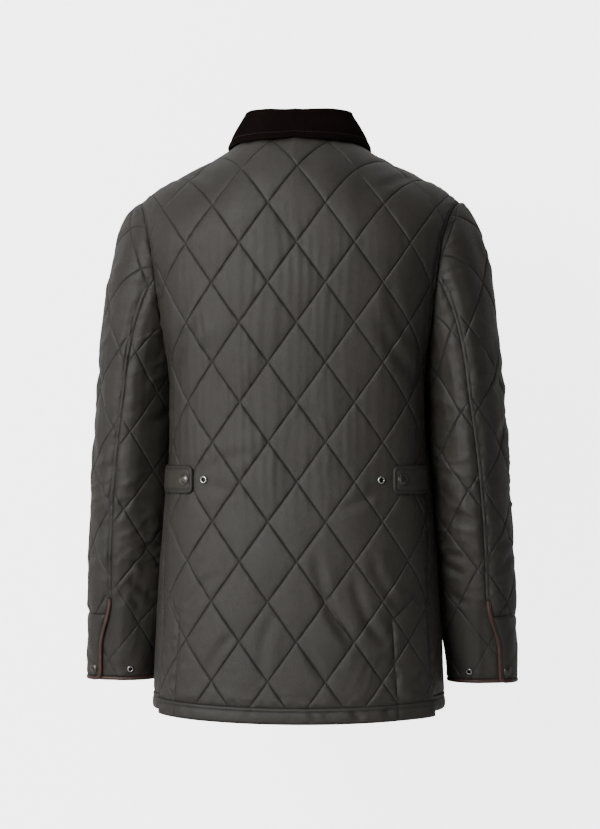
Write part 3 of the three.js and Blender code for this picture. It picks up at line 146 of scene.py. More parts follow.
def read(rows, name, at):
    """Reads a column of a table on a smooth curve through its rows."""
    keys, values = next(iter(rows.values())), rows[name]
    last = len(keys) - 1
    at = np.clip(np.asarray(at, float), keys[0], keys[-1])
    i = np.clip(np.searchsorted(keys, at, side="right") - 1, 0, last - 1)
    before, after = np.maximum(i - 1, 0), np.minimum(i + 2, last)
    span = keys[i + 1] - keys[i]
    leave = (values[i + 1] - values[before]) / (keys[i + 1] - keys[before]) * span
    arrive = (values[after] - values[i]) / (keys[after] - keys[i]) * span
    return hermite(values[i], values[i + 1], leave, arrive, (at - keys[i]) / span)


def between(grid, row, col):
    """Reads a grid of numbers between its rows and columns."""
    row = np.clip(row, 0, grid.shape[0] - 1.0001)
    col = np.clip(col, 0, grid.shape[1] - 1.0001)
    i, j = np.floor(row).astype(int), np.floor(col).astype(int)
    low = mix(grid[i, j], grid[i, j + 1], col - j)
    high = mix(grid[i + 1, j], grid[i + 1, j + 1], col - j)
    return mix(low, high, row - i)


def run_lengths(x, y):
    """Distances along each row of points, from 0 at the first."""
    step = np.hypot(np.diff(x, axis=-1), np.diff(y, axis=-1))
    return np.concatenate([np.zeros(step.shape[:-1] + (1,)), np.cumsum(step, axis=-1)], axis=-1)


def even_turns(turns, lengths):
    """For each row, the turn at each even share of its length."""
    shares = np.linspace(0, 1, len(turns))
    return np.array([np.interp(shares * row[-1], row, turns) for row in lengths])


def unit(vectors):
    return vectors / np.maximum(np.linalg.norm(vectors, axis=-1, keepdims=True), 1e-9)


NOISE_CELLS = 64


def noise(x, y, seed):
    """Soft bumps between about -1 and 1, one or two to each step of x and y, the same ones each time."""
    heights = np.random.default_rng(seed).uniform(-1, 1, (NOISE_CELLS, NOISE_CELLS))
    i, j = np.floor(x).astype(int), np.floor(y).astype(int)
    a, b = x - i, y - j
    a, b = a * a * (3 - 2 * a), b * b * (3 - 2 * b)

    def corner(right, up):
        return heights[(i + right) % NOISE_CELLS, (j + up) % NOISE_CELLS]

    return mix(mix(corner(0, 0), corner(1, 0), a), mix(corner(0, 1), corner(1, 1), a), b)


# The body's surface, by the way round from the centre back and the height up the cloth

FROZEN = TORSO["height"][-1]
LEVEL_STEP = 4
LOWEST_LEVEL = -800
LEVELS = np.arange(LOWEST_LEVEL, FROZEN + LEVEL_STEP, LEVEL_STEP)
ROUND_POINTS = 721
HALF_ROUND = np.linspace(0, math.pi, ROUND_POINTS)
HALVINGS = 40


def section(height, angle):
    """x and y on a level, by the angle from the centre back through the side to the centre front."""
    height = np.minimum(height, FROZEN)
    depth = np.where(np.cos(angle) > 0, read(TORSO, "back", height), read(TORSO, "front", height))
    across = (np.sin(angle) + SQUARENESS * np.sin(3 * angle)) / (1 - SQUARENESS)
    y = -depth * (np.cos(angle) - SQUARENESS * np.cos(3 * angle)) / (1 - SQUARENESS)
    squeeze = 1 - read(TORSO, "pinch", height) * np.exp(-((y / PINCH_REACH) ** 2))
    return read(TORSO, "half_width", height) * across * squeeze, y


LEVEL_ROUNDS = run_lengths(*section(LEVELS[:, None], HALF_ROUND[None, :]))
LEVEL_TURNS = even_turns(HALF_ROUND, LEVEL_ROUNDS)


def level_row(height):
    return (np.minimum(height, FROZEN) - LEVELS[0]) / LEVEL_STEP


def half_round(height):
    """How far it is from the centre back to the centre front on a level."""
    return between(LEVEL_ROUNDS, level_row(height), np.full(np.shape(height), len(HALF_ROUND) - 1.0))


def round_at(height, angle):
    return between(LEVEL_ROUNDS, level_row(height), np.asarray(angle) / math.pi * (len(HALF_ROUND) - 1))


def angle_at(height, way):
    return between(LEVEL_TURNS, level_row(height), np.abs(way) / half_round(height) * (len(HALF_ROUND) - 1))


def angle_where(height, axis, value, low, high):
    """The angle on a level, between two others, at which x (axis 0) or y (axis 1) has a value."""
    height, value = np.broadcast_arrays(np.asarray(height, float), np.asarray(value, float))
    low, high = np.full(height.shape, float(low)), np.full(height.shape, float(high))
    rises = section(height, high)[axis] > section(height, low)[axis]
    for _ in range(HALVINGS):
        middle = (low + high) / 2
        short = (section(height, middle)[axis] < value) == rises
        low, high = np.where(short, middle, low), np.where(short, high, middle)
    return (low + high) / 2


RATIOS = np.linspace(0.15, 1.1, 96)
QUARTER = np.linspace(0, math.pi / 2, 129)
RATIO_LENGTHS = run_lengths(RATIOS[:, None] * (1 - np.cos(QUARTER)[None, :]),
                            np.sin(QUARTER)[None, :] + 0 * RATIOS[:, None])
RATIO_TURNS = even_turns(QUARTER, RATIO_LENGTHS)


def ratio_row(ratio):
    return (ratio - RATIOS[0]) / (RATIOS[1] - RATIOS[0])


def shoulder_turn(y):
    """The reach and the rise of the round of the shoulder, and the row of its ratio."""
    reach = np.maximum(np.abs(y), SHOULDER["least_reach"])
    rise = SHOULDER["rise"] + SHOULDER["rise_share"] * reach
    return reach, rise, ratio_row(reach / rise)


def over_shoulder(x, y, height):
    reach, rise, row = shoulder_turn(y)
    start = read(RIDGE, "height", np.abs(x)) - rise
    whole = between(RATIO_LENGTHS, row, np.full(np.shape(row), len(QUARTER) - 1.0)) * rise
    turn = between(RATIO_TURNS, row, (height - start) / whole * (len(QUARTER) - 1))
    above = height > start
    y = np.where(above, y * np.cos(turn), y)
    z = np.where(above, start + rise * np.sin(turn), height)
    return np.stack([x, y, z], -1)


def torso_point(way, height):
    x, y = section(height, angle_at(height, way))
    return over_shoulder(np.where(way < 0, -x, x), y, height)


def on_shoulder(x, y_share, is_back):
    """Where a plan point over the shoulder lies on the cloth."""
    low, high = (0, math.pi / 2) if is_back else (math.pi / 2, math.pi)
    x, y_share = np.broadcast_arrays(np.asarray(x, float), np.asarray(y_share, float))
    level = np.full(x.shape, FROZEN)
    angle = angle_where(level, 0, x, low, high)
    reach, rise, row = shoulder_turn(section(level, angle)[1])
    turn = np.arccos(np.clip(y_share / reach, 0, 1))
    along = between(RATIO_LENGTHS, row, turn / (math.pi / 2) * (len(QUARTER) - 1)) * rise
    return round_at(level, angle), read(RIDGE, "height", x) - rise + along


def side_seam(height):
    return round_at(height, angle_where(height, 1, read(SIDE_SEAM, "y", height), 0, math.pi))


SHOULDER_TIP = {True: on_shoulder(SHOULDER["tip"], 0, True), False: on_shoulder(SHOULDER["tip"], 0, False)}


def armhole(down, is_back):
    """The armhole's edge on the body, by the share of the way down from the shoulder tip."""
    tip_round, tip_height = SHOULDER_TIP[is_back]
    tip_y = section(tip_height, angle_at(tip_height, tip_round))[1]
    turn = np.asarray(down, float) * math.pi
    middle = (tip_height + ARMHOLE["bottom"]) / 2
    height = middle + (tip_height - middle) * np.cos(turn)
    centre = mix(tip_y, ARMHOLE["centre_y"], (1 - np.cos(turn)) / 2)
    y = centre + (-1 if is_back else 1) * ARMHOLE["half_depth"] * np.sin(turn)
    return round_at(height, angle_where(height, 1, y, 0, math.pi)), height


def shoulder_seam(share, is_back):
    return on_shoulder(mix(SHOULDER["tip"], NECK["half_width"], share), 0, is_back)


def neck_at(share, reach, is_front):
    """The neckline, from the centre back (0) over the side of the neck (1) to the centre front (2)."""
    side = NECK["half_width"] + reach
    if not is_front:
        turn = share * math.pi / 2
        return on_shoulder(side * np.sin(turn), (NECK["back_depth"] + reach) * np.cos(turn), True)
    way, height = on_shoulder(side, 0, False)
    turn = (share - 1) * math.pi / 2
    return (mix(half_round(np.array(FROZEN)), way, np.cos(turn)),
            mix(FRONT_NECK_HEIGHT - reach, height, 1 - np.sin(turn)))


def back_edge(height):
    return side_seam(height) - VENT["recede"] * smooth(VENT["top"] - height, 0, VENT["recede_over"])


def back_surface(u, v):
    point = torso_point(u, v)
    edge = back_edge(np.minimum(v, VENT["top"]))
    opening = np.where(u > 0, VENT["open_right"], VENT["open_left"])
    kick = opening * smooth(VENT["top"] - v, 0, VENT["top"] - HEM["side"])
    kick = kick * smooth(np.abs(u), edge - VENT["reach"], edge)
    out = unit(point * np.array([VENT["sideways"], 1, 0]))
    return point + out * kick[..., None]


def back_hem(way):
    return mix(HEM["side"], HEM["back"], np.cos(way / side_seam(np.array(HEM["side"])) * math.pi / 2))


def front_hem(way):
    start, end = side_seam(np.array(HEM["side"])), half_round(np.array(HEM["side"]))
    share = np.clip((way - start) / (end - start), 0, 1)
    return mix(HEM["front_side"], HEM["front"], np.sin(share * math.pi / 2))


def front_surface(u, v):
    """The right front, by the way round from the centre front (0) back to the side seam (below 0)."""
    return torso_point(half_round(v) + u, v)


def whole_front(u, v):
    point = front_surface(-np.abs(u), v)
    return point * np.stack([np.where(u > 0, -1, 1), np.ones_like(u), np.ones_like(u)], -1)


# The right sleeve's surface, by the share of the way round and the height up the cloth

RING_STEP = 4
RING_HEIGHTS = np.arange(CUFF["height"] - 2 * RING_STEP, CAP["start"] + RING_STEP, RING_STEP)
WHOLE_ROUND = np.linspace(0, 2 * math.pi, ROUND_POINTS)


def ring_sizes(height):
    inner, outer = read(SLEEVE, "inner", height), read(SLEEVE, "outer", height)
    back, front = read(SLEEVE, "back", height), read(SLEEVE, "front", height)
    return (inner + outer) / 2, (back + front) / 2, (outer - inner) / 2, (front - back) / 2


def ring_lengths():
    x, y, half_x, half_y = (size[:, None] for size in ring_sizes(RING_HEIGHTS))
    return run_lengths(x - half_x * np.cos(WHOLE_ROUND), y - half_y * np.sin(WHOLE_ROUND))


RING_LENGTHS = ring_lengths()
RING_TURNS = even_turns(WHOLE_ROUND, RING_LENGTHS)


def ring_row(height):
    return (np.minimum(height, CAP["start"]) - RING_HEIGHTS[0]) / RING_STEP


def whole_round(height):
    return between(RING_LENGTHS, ring_row(height), np.full(np.shape(height), len(WHOLE_ROUND) - 1.0))


def ring_point(share, height):
    level = np.minimum(height, CAP["start"])
    turn = between(RING_TURNS, ring_row(level), (share - np.floor(share)) * (len(WHOLE_ROUND) - 1))
    x, y, half_x, half_y = ring_sizes(level)
    return np.stack([x - half_x * np.cos(turn), y - half_y * np.sin(turn), height + 0 * turn], -1)


def armhole_for(share):
    whole = share - np.floor(share)
    down = np.abs(1 - 2 * whole)
    back_way, back_height = armhole(down, True)
    front_way, front_height = armhole(down, False)
    is_back = whole < 0.5
    return np.where(is_back, back_way, front_way), np.where(is_back, back_height, front_height)


CAP_SHARES = np.linspace(0, 1, 193)


def cap_ends():
    """For each share round the sleeve, the cap's two ends and how it leaves and arrives."""
    low = np.full(CAP_SHARES.shape, float(CAP["start"]))
    start = ring_point(CAP_SHARES, low)
    below = ring_point(CAP_SHARES, low - CAP["step"])
    end = torso_point(*armhole_for(np.minimum(CAP_SHARES, 1 - 1e-9)))
    high = (1 - np.cos(2 * math.pi * CAP_SHARES)) / 2
    reach = np.linalg.norm(end - start, axis=-1, keepdims=True)
    leave = (start - below) * reach * CAP["leave"] / CAP["step"]
    out, down = mix(CAP["low_out"], CAP["out"], high), mix(CAP["low_down"], CAP["down"], high)
    arrive = np.stack([-out, 0 * high, -down], -1)
    return start, end, leave, unit(arrive) * reach * CAP["pull"]


CAP_ENDS = cap_ends()


def cap_lengths():
    t = np.linspace(0, 1, 49)[:, None, None]
    points = hermite(*(each[None] for each in CAP_ENDS), t)
    return np.linalg.norm(np.diff(points, axis=0), axis=-1).sum(0)


CAP_LENGTHS = cap_lengths()


def cap_length(share):
    return np.interp(share - np.floor(share), CAP_SHARES, CAP_LENGTHS)


def cap_point(share, height):
    at = (share - np.floor(share))[..., None] * (len(CAP_SHARES) - 1)
    columns = np.arange(3)
    ends = [between(each, at, columns + 0 * at) for each in (np.pad(e, ((0, 0), (0, 1))) for e in CAP_ENDS)]
    t = ((height - CAP["start"]) / cap_length(share))[..., None]
    return hermite(*ends, t)


def sleeve_point(share, height):
    share, height = np.broadcast_arrays(np.asarray(share, float), np.asarray(height, float))
    return np.where((height <= CAP["start"])[..., None], ring_point(share, height), cap_point(share, height))


def upper_surface(u, v):
    return sleeve_point(0.5 + u / whole_round(v), v)


def plain_under_surface(u, v):
    return sleeve_point(u / whole_round(v), v)


def upper_u(share, v):
    return (share - 0.5) * whole_round(v)


def under_u(share, v):
    return np.where(share > 0.5, share - 1, share) * whole_round(v)


def sleeve_top(down, is_back):
    """The share and the height at which a seam meets the armhole."""
    share = 0.5 + (-down if is_back else down) / 2
    return share, CAP["start"] + float(cap_length(np.array(share)))


REAR_TOP = sleeve_top(ARMHOLE["rear_seam"], True)
FRONT_TOP = sleeve_top(ARMHOLE["front_seam"], False)


def rear_seam(v):
    up = np.clip((v - CAP["start"]) / (REAR_TOP[1] - CAP["start"]), 0, 1)
    return mix(read(SLEEVE, "seam", np.minimum(v, CAP["start"])), REAR_TOP[0], up)


def front_seam(v):
    return mix(CUFF_FRONT_SEAM, FRONT_TOP[0], smooth(v, CUFF["height"], FRONT_TOP[1]))


def vent_edge(v):
    down = np.clip((CUFF["vent_top"] - v) / (CUFF["vent_top"] - CUFF["height"]), 0, 1)
    curved = VENT_CURVE["curved"] * smooth(down, VENT_CURVE["from"], VENT_CURVE["to"])
    return upper_u(rear_seam(v), v) + GAP + CUFF["curve"] * (curved + VENT_CURVE["straight"] * down)


def normals(surface, u, v, step=1.5):
    across = surface(u + step, v) - surface(u - step, v)
    up = surface(u, v + step) - surface(u, v - step)
    return unit(np.cross(across, up))


def lifted(surface, u, v, lift):
    return surface(u, v) + normals(surface, u, v) * np.asarray(lift)[..., None]


def band_surface(u, v):
    """The cuff band lies over the end of the under sleeve."""
    start = upper_u(rear_seam(v), v)
    over = 1 - smooth(u - start, CUFF["overlap"] + BAND_OVER["from"], CUFF["overlap"] + BAND_OVER["to"])
    below = smooth(CUFF["vent_top"] - v, 0, BAND_OVER["below_vent"])
    return lifted(upper_surface, u, v, CUFF["lift"] * over * below)


def under_surface(u, v):
    """The under sleeve is let in behind the cuff band."""
    start = under_u(rear_seam(v), v)
    below = smooth(CUFF["vent_top"] + LET_IN["above_vent"] - v, 0, LET_IN["over"])
    let_in = smooth(u - start, LET_IN["from"], LET_IN["to"]) * below
    return lifted(plain_under_surface, u, v, -CUFF["lift"] * let_in)


# Flat pieces of cloth cut into triangles that follow their seams and stitched lines

STEP = 3.0
FILL = 3.4
INNER_FILL = 15
EDGE_ROWS = (0.9, 2.2, 4.2)
LINE_ROWS = (1.1, 2.6)
QUILT_SIDE = math.hypot(QUILT["width"], QUILT["height"]) / 2
QUILT_STEPS = 22
LINE_SPACING = QUILT["width"] * QUILT["height"] / 2 / QUILT_SIDE
SHARPEST_CORNER = 0.8
FAR = 1000.0
POINTS_AT_ONCE = 2000
ROW_RISE = 0.866
SEWN_MARGIN = 1.6
CLEAR = {"row": 0.85, "second_row": 1.4, "fill": 0.6, "edge": 2.6, "back": 0.4, "sewn": 1.5}


def spaced(points, step):
    """A run of flat points again, about step apart, with both its ends."""
    points = np.asarray(points, float)
    along = run_lengths(points[:, 0], points[:, 1])
    at = np.linspace(0, along[-1], max(2, round(along[-1] / step) + 1))
    return np.stack([np.interp(at, along, points[:, k]) for k in (0, 1)], -1)


def outline(*runs):
    """Joins runs, each of which starts where the last one ends, into one closed outline."""
    return np.concatenate([spaced(run, STEP)[:-1] for run in runs])


def run(make, count=60, start=0.0, end=1.0):
    """Flat points along a curve given by its share."""
    u, v = make(np.linspace(start, end, count))
    return np.stack(np.broadcast_arrays(u, v), -1)


def straight(*points):
    return np.array(points, float)


def flipped(points):
    """The same run on the other side of the middle, going back."""
    return (points * np.array([-1, 1]))[::-1]


def inset(edge, by):
    """A closed outline moved in by a distance; it runs with its inside on the left."""
    sides = [unit(edge - np.roll(edge, 1, 0)), unit(np.roll(edge, -1, 0) - edge)]
    total = sum(np.stack([-side[:, 1], side[:, 0]], -1) for side in sides)
    return edge + total * (2 * by / np.maximum((total ** 2).sum(-1, keepdims=True), SHARPEST_CORNER))


def beside(line, by):
    """An open run of flat points moved to its left."""
    along = unit(np.gradient(line, axis=0))
    return line + np.stack([-along[:, 1], along[:, 0]], -1) * by


def tree_of(points):
    tree = KDTree(len(points))
    for i, (u, v) in enumerate(points):
        tree.insert((u, v, 0), i)
    tree.balance()
    return tree


def far_from(points, others):
    """How far each flat point is from the nearest of some others."""
    if not len(others):
        return np.full(len(points), FAR)
    tree = tree_of(others)
    return np.array([tree.find((u, v, 0))[2] for u, v in points])


def to_outline(points, edge):
    """How far each flat point is from a closed outline."""
    tree = tree_of(edge)
    near = np.array([tree.find((u, v, 0))[1] for u, v in points], int)
    best = np.full(len(points), np.inf)
    for first, second in ((near - 1, near), (near, (near + 1) % len(edge))):
        side = edge[second] - edge[first]
        share = np.clip(((points - edge[first]) * side).sum(1) / (side ** 2).sum(1), 0, 1)
        gap = np.linalg.norm(points - edge[first] - side * share[:, None], axis=1)
        best = np.minimum(best, gap)
    return best


def is_inside(points, edge):
    (u0, v0), (u1, v1) = edge.T, np.roll(edge, -1, 0).T
    result = np.zeros(len(points), bool)
    for start in range(0, len(points), POINTS_AT_ONCE):
        some = slice(start, start + POINTS_AT_ONCE)
        u, v = points[some, :1], points[some, 1:]
        crosses = (v0 > v) != (v1 > v)
        side = u0 + (v - v0) / np.where(v1 == v0, 1, v1 - v0) * (u1 - u0)
        result[some] = (crosses & (u < side)).sum(1) % 2 == 1
    return result


def within(points, edge, margin):
    keep = is_inside(points, edge)
    keep[keep] = to_outline(points[keep], edge) > margin
    return keep


def lattice(edge, step):
    low, high = edge.min(0), edge.max(0)
    rows = np.arange(low[1], high[1], step * ROW_RISE)
    columns = np.arange(low[0], high[0], step)
    u = columns[None, :] + (np.arange(len(rows)) % 2 * step / 2)[:, None]
    return np.stack([u.ravel(), np.repeat(rows, len(columns))], -1)


def quilt_lines(edge, start):
    """Every stitched line of the diamonds that may cross an outline."""
    across, up = (edge[:, 0] - start[0]) / QUILT["width"], (edge[:, 1] - start[1]) / QUILT["height"]
    spans = [(math.floor(each.min()), math.ceil(each.max())) for each in (across + up, across - up)]
    lines = []
    for family, other in ((0, 1), (1, 0)):
        along = np.arange(spans[other][0] * QUILT_STEPS, spans[other][1] * QUILT_STEPS + 1) / QUILT_STEPS
        for line in range(spans[family][0], spans[family][1] + 1):
            p, q = (line + 0 * along, along) if family == 0 else (along, line + 0 * along)
            u, v = start[0] + QUILT["width"] * (p + q) / 2, start[1] + QUILT["height"] * (p - q) / 2
            lines.append(np.stack([u, v], -1))
    return lines


def kept_runs(line, keep):
    """The stretches of a line whose points are kept."""
    breaks = np.flatnonzero(np.diff(np.concatenate([[0], keep.astype(int), [0]])))
    return [line[a:b] for a, b in zip(breaks[::2], breaks[1::2]) if b - a > 1]


def sewn_runs(edge, lines):
    """The stretches of sewn lines that lie inside an outline."""
    if not lines:
        return []
    every = np.concatenate(lines)
    keep = within(every, edge, SEWN_MARGIN)
    parts = np.split(keep, np.cumsum([len(line) for line in lines])[:-1])
    return [stretch for line, part in zip(lines, parts) for stretch in kept_runs(line, part)]


def rows_beside(edge, runs):
    """Rows of points beside the edge and the sewn runs, each with the room it leaves round earlier points."""
    rows = [(inset(edge, by), by * CLEAR["row"]) for by in EDGE_ROWS]
    for by, room in zip(LINE_ROWS, (LINE_ROWS[0] * CLEAR["row"], CLEAR["second_row"])):
        if runs:
            rows.append((np.concatenate([beside(each, side * by) for each in runs for side in (-1, 1)]), room))
    return rows


def fabric_points(edge, runs, fill):
    """Points beside the edge and the sewn runs, and an even fill between."""
    kept = np.concatenate([edge, *runs])
    added = []
    for row, room in (*rows_beside(edge, runs), (lattice(edge, fill), fill * CLEAR["fill"])):
        row = row[within(row, edge, min(room, CLEAR["edge"]))]
        row = row[far_from(row, kept) > room]
        kept = np.concatenate([kept, row])
        added.append(row)
    return np.concatenate(added)


def triangulated(edge, runs, points):
    """Triangles over an outline that use every point and keep to the runs, and the edge's own points."""
    counts = np.cumsum([len(edge)] + [len(each) for each in runs])
    links = [(i, i + 1) for a, b in zip(counts[:-1], counts[1:]) for i in range(a, b - 1)]
    every = np.concatenate([edge, *runs, points])
    found = delaunay_2d_cdt([Vector(p) for p in every], links, [list(range(len(edge)))], 1, 1e-4, True)
    flat = np.array([tuple(p) for p in found[0]])
    faces = np.array([face for face in found[2] if len(face) == 3])
    rim = np.zeros(len(edge), int)
    for now, before in enumerate(found[3]):
        for old in before:
            if old < len(edge):
                rim[old] = now
    sides = set(zip(rim.tolist(), np.roll(rim, -1).tolist()))
    keep = np.ones(len(faces), bool)
    for i in np.flatnonzero(np.isin(faces, rim).all(1)):
        a, b, c = faces[i].tolist()
        goes_with = any(side in sides for side in ((a, b), (b, c), (c, a)))
        goes_against = any(side in sides for side in ((b, a), (c, b), (a, c)))
        keep[i] = not goes_against and (goes_with or is_inside(flat[faces[i]].mean(0)[None], edge)[0])
    return flat, faces[keep], rim


# The relief of sewn cloth

EDGE_ROLL = {"depth": 1.7, "reach": 3.6}
QUILT_FADE = 13
MARK_FADE = (-1, 9)
FOLD_FADE = 9
CREASE_FADE = 6
SWELL_FADE = 10
SINK = {"depth": 0.7, "width": 0.95}
SHADE_WIDTH = {"quilted": 1.0, "plain": 1.5}
FULLNESS = (0.8, 1.12)
PUCKER = {"length": 6.5, "row": 5.3, "across": 9, "fade": 6, "start": 1.6}
WAVES = {"broad": 1.1, "fine": 0.5, "fade": 26}
GATHER = {"fine": 0.7, "fade": 13, "start": 1.8}
FOLD_WIDTH = 0.24
BOW = 0.07
MARK_STEP = 0.5


def edge_roll(to_edge, depth=EDGE_ROLL["depth"], reach=EDGE_ROLL["reach"]):
    """Cloth turns down into a seam or round a fold."""
    rest = 1 - np.clip(to_edge / reach, 0, 1)
    return -depth * (1 - np.sqrt(1 - rest ** 2))


def creased(u, v, creases):
    """Listed folds: each is a trough with a soft ridge on both sides, a little bowed."""
    rise = np.zeros(np.shape(u))
    if creases is None:
        return rise
    for u0, v0, u1, v1, width, depth in zip(*creases.values()):
        length = math.hypot(u1 - u0, v1 - v0)
        along = ((u - u0) * (u1 - u0) + (v - v0) * (v1 - v0)) / length ** 2
        off = ((v - v0) * (u1 - u0) - (u - u0) * (v1 - v0)) / length
        bow = BOW * length * np.sin(math.pi * np.clip(along, 0, 1))
        x = (off - bow) / width
        ends = smooth(along, -0.08, 0.3) * (1 - smooth(along, 0.7, 1.08))
        rise = rise - depth * ends * (1 - x * x) * np.exp(-x * x / 2)
    return rise


def folds(u, v, lean, length, width, seed):
    """Soft narrow ridges that run mostly one way, and come and go. lean turns them from upright."""
    across = u * math.cos(lean) + v * math.sin(lean)
    along = v * math.cos(lean) - u * math.sin(lean)
    line = noise(across / width + 0.8 * noise(u / 60, v / 60, seed), along / length, seed + 1)
    there = smooth(noise(u / 55, v / 80, seed + 2), -0.3, 0.4)
    return np.exp(-((line / FOLD_WIDTH) ** 2)) * there


def drawn_lines(u, v, spacing, seed):
    """Fine upright ripples, some stronger than others, that wander a little and come and go."""
    wander = 1.6 * noise(u / 50, v / 160, seed) + 0.8 * noise(u / 18, v / 90, seed + 1)
    strength = 0.35 + 0.65 * smooth(noise(u / 30, v / 95, seed + 2), -0.5, 0.6)
    return strength * np.sin(2 * math.pi * u / spacing + 2.2 * wander)


FOLD_HEIGHTS = {
    "waist": (-560, -430), "shoulders": (-170, -60), "low": (-620, -520), "below_armhole": (-420, -330),
    "armhole": (-220, -150), "forearm": (-660, -600), "above_elbow": (-470, -400), "upper_arm": (-400, -330),
    "sleeve_top": (-150, -110),
}
FOLD_PLACES = {"right_back": (0, 60), "low_right": (-20, 60), "back_side": (118, 165), "front_side": (90, 170)}


def in_fold_zone(v, start, end):
    """1 between two heights, with a soft start and a soft end."""
    return smooth(v, *FOLD_HEIGHTS[start]) * (1 - smooth(v, *FOLD_HEIGHTS[end]))


def back_folds(u, v):
    """Upright drawn folds over the middle and the left of the back, and slanting pulls low on the right."""
    weaker = 1 - 0.45 * smooth(u, *FOLD_PLACES["right_back"])
    upright = in_fold_zone(v, "waist", "shoulders") * weaker
    low = (1 - smooth(v, *FOLD_HEIGHTS["low"])) * smooth(u, *FOLD_PLACES["low_right"])
    under_arm = in_fold_zone(v, "below_armhole", "armhole") * smooth(np.abs(u), *FOLD_PLACES["back_side"])
    rise = upright * (0.5 * folds(u, v, 0.03, 120, 19, 301) + 0.34 * drawn_lines(u, v, 14, 305))
    rise = rise + 0.9 * low * folds(u, v, -0.62, 70, 22, 311)
    return rise + 1.1 * under_arm * folds(np.abs(u), v, -0.5, 60, 18, 321)


def front_folds(u, v):
    """Slanting folds towards the side seam, and fainter upright ones all over."""
    side = smooth(-u, *FOLD_PLACES["front_side"])
    return 0.9 * side * folds(u, v, 0.3, 80, 20, 331) + 0.5 * folds(u, v, -0.1, 110, 24, 341)


def sleeve_folds(seed):
    """Slanting folds at the elbow, over the forearm and below the armhole."""
    def folded(u, v):
        at_elbow = in_fold_zone(v, "forearm", "above_elbow")
        at_top = in_fold_zone(v, "upper_arm", "sleeve_top")
        sideways = folds(u, v, 1.25, 48, 19, seed) + 0.6 * folds(u, v, 0.8, 60, 21, seed + 10)
        upright = folds(u, v, 0.12, 110, 20, seed + 20)
        rise = (1.5 * at_elbow + 1.2 * at_top + 0.5) * sideways + 0.8 * upright
        return rise + 0.2 * drawn_lines(u, v, 17, seed)

    return folded


def marks_along(sewn):
    """Points close together on the sewn lines, to measure from."""
    return np.concatenate([spaced(line, MARK_STEP) for line in sewn]) if len(sewn) else np.zeros((0, 2))


def stitched_in(gap):
    """How far the cloth sinks at a stitched line."""
    return SINK["depth"] * np.exp(-((gap / SINK["width"]) ** 2))


def quilted_relief(start, seed, press=None, creases=None, sewn=(), waves=1.0, folded=None, swell_at=None):
    """The padding's height over the stitched surface, and how near a stitched line or edge each point is: the
    mask for the painted shade there.
    """
    sizes = bpy.context.scene.jacket_sizes
    full = sizes.quilt_puff / MM
    fullness = np.random.default_rng(seed).uniform(*FULLNESS, (NOISE_CELLS, NOISE_CELLS))
    marks = marks_along(sewn)

    def relief(u, v, to_edge):
        across, up = (u - start[0]) / QUILT["width"], (v - start[1]) / QUILT["height"]
        p, q = across + up, across - up
        swell = np.abs(np.sin(math.pi * p) * np.sin(math.pi * q)) ** sizes.quilt_roundness
        diamond = fullness[np.floor(p).astype(int) % NOISE_CELLS, np.floor(q).astype(int) % NOISE_CELLS]
        to_line = [np.abs(each - np.round(each)) * LINE_SPACING for each in (p, q)]
        to_mark = far_from(np.stack([u, v], -1), marks)
        nearest = np.minimum(np.minimum(*to_line), to_mark)
        flatter = 1 if press is None else press(u, v)
        rise = full * swell * diamond * flatter * smooth(to_edge, 0, QUILT_FADE) * smooth(to_mark, *MARK_FADE)
        for way, line, gap in ((q, p, to_line[0]), (p, q, to_line[1])):
            row = np.round(line) * PUCKER["row"] + gap / PUCKER["across"]
            ripple = noise(way * QUILT_SIDE / PUCKER["length"], row, seed + 1)
            risen = 1 - np.exp(-((gap / PUCKER["start"]) ** 2))
            rise = rise + sizes.pucker / MM * ripple * np.exp(-gap / PUCKER["fade"]) * risen * flatter
        uneven = WAVES["broad"] * noise(u / 64, v / 90, seed + 2)
        uneven = uneven + WAVES["fine"] * noise(u / 25, v / 38, seed + 3)
        rise = rise + waves * smooth(to_edge, 0, WAVES["fade"]) * uneven
        rise = rise + (0 if folded is None else folded(u, v) * smooth(to_edge, 0, FOLD_FADE))
        rise = rise + smooth(to_edge, 0, CREASE_FADE) * creased(u, v, creases)
        seam = np.minimum(to_edge, np.abs(to_mark))
        gathers = noise(u / 26 + 0.3 * v / 26, v / 7.5, seed + 6)
        gathers = gathers + GATHER["fine"] * noise(u / 9, v / 9, seed + 7)
        risen = 1 - np.exp(-((seam / GATHER["start"]) ** 2))
        rise = rise + sizes.gather / MM * gathers * np.exp(-seam / GATHER["fade"]) * risen
        rise = rise + (0 if swell_at is None else swell_at(u, v) * smooth(to_edge, 0, SWELL_FADE))
        rise = rise - stitched_in(nearest) + edge_roll(to_edge)
        # The second value is the mask for the painted shade along stitched lines and edges.
        return rise, np.exp(-((np.minimum(nearest, to_edge) / SHADE_WIDTH["quilted"]) ** 2))

    return relief


def plain_relief(seed, cushion=0.7, sewn=(), waves=0.35, reach=6.0, creases=None):
    """An unquilted piece: softly cushioned, turned at its edges, drawn in along its stitching."""
    marks = marks_along(sewn)

    def relief(u, v, to_edge):
        to_mark = far_from(np.stack([u, v], -1), marks)
        near = np.minimum(to_edge, to_mark)
        rise = cushion * smooth(near, 0, reach) + edge_roll(to_edge)
        uneven = waves * noise(u / 17, v / 13, seed) + creased(u, v, creases)
        rise = rise + smooth(to_edge, 0, FOLD_FADE) * uneven
        rise = rise - stitched_in(to_mark)
        # The second value is the mask for the painted shade along stitched lines and edges.
        return rise, np.exp(-((np.minimum(to_mark, to_edge) / SHADE_WIDTH["plain"]) ** 2))

    return relief


# Meshes and pieces

STITCH_PATHS = {}
SEAM_ALLOWANCE = 0.7
SHARP_ANGLE = math.radians(60)
THREAD_LIFT = 0.1


def on_left(points):
    return points * np.array([-1, 1, 1])


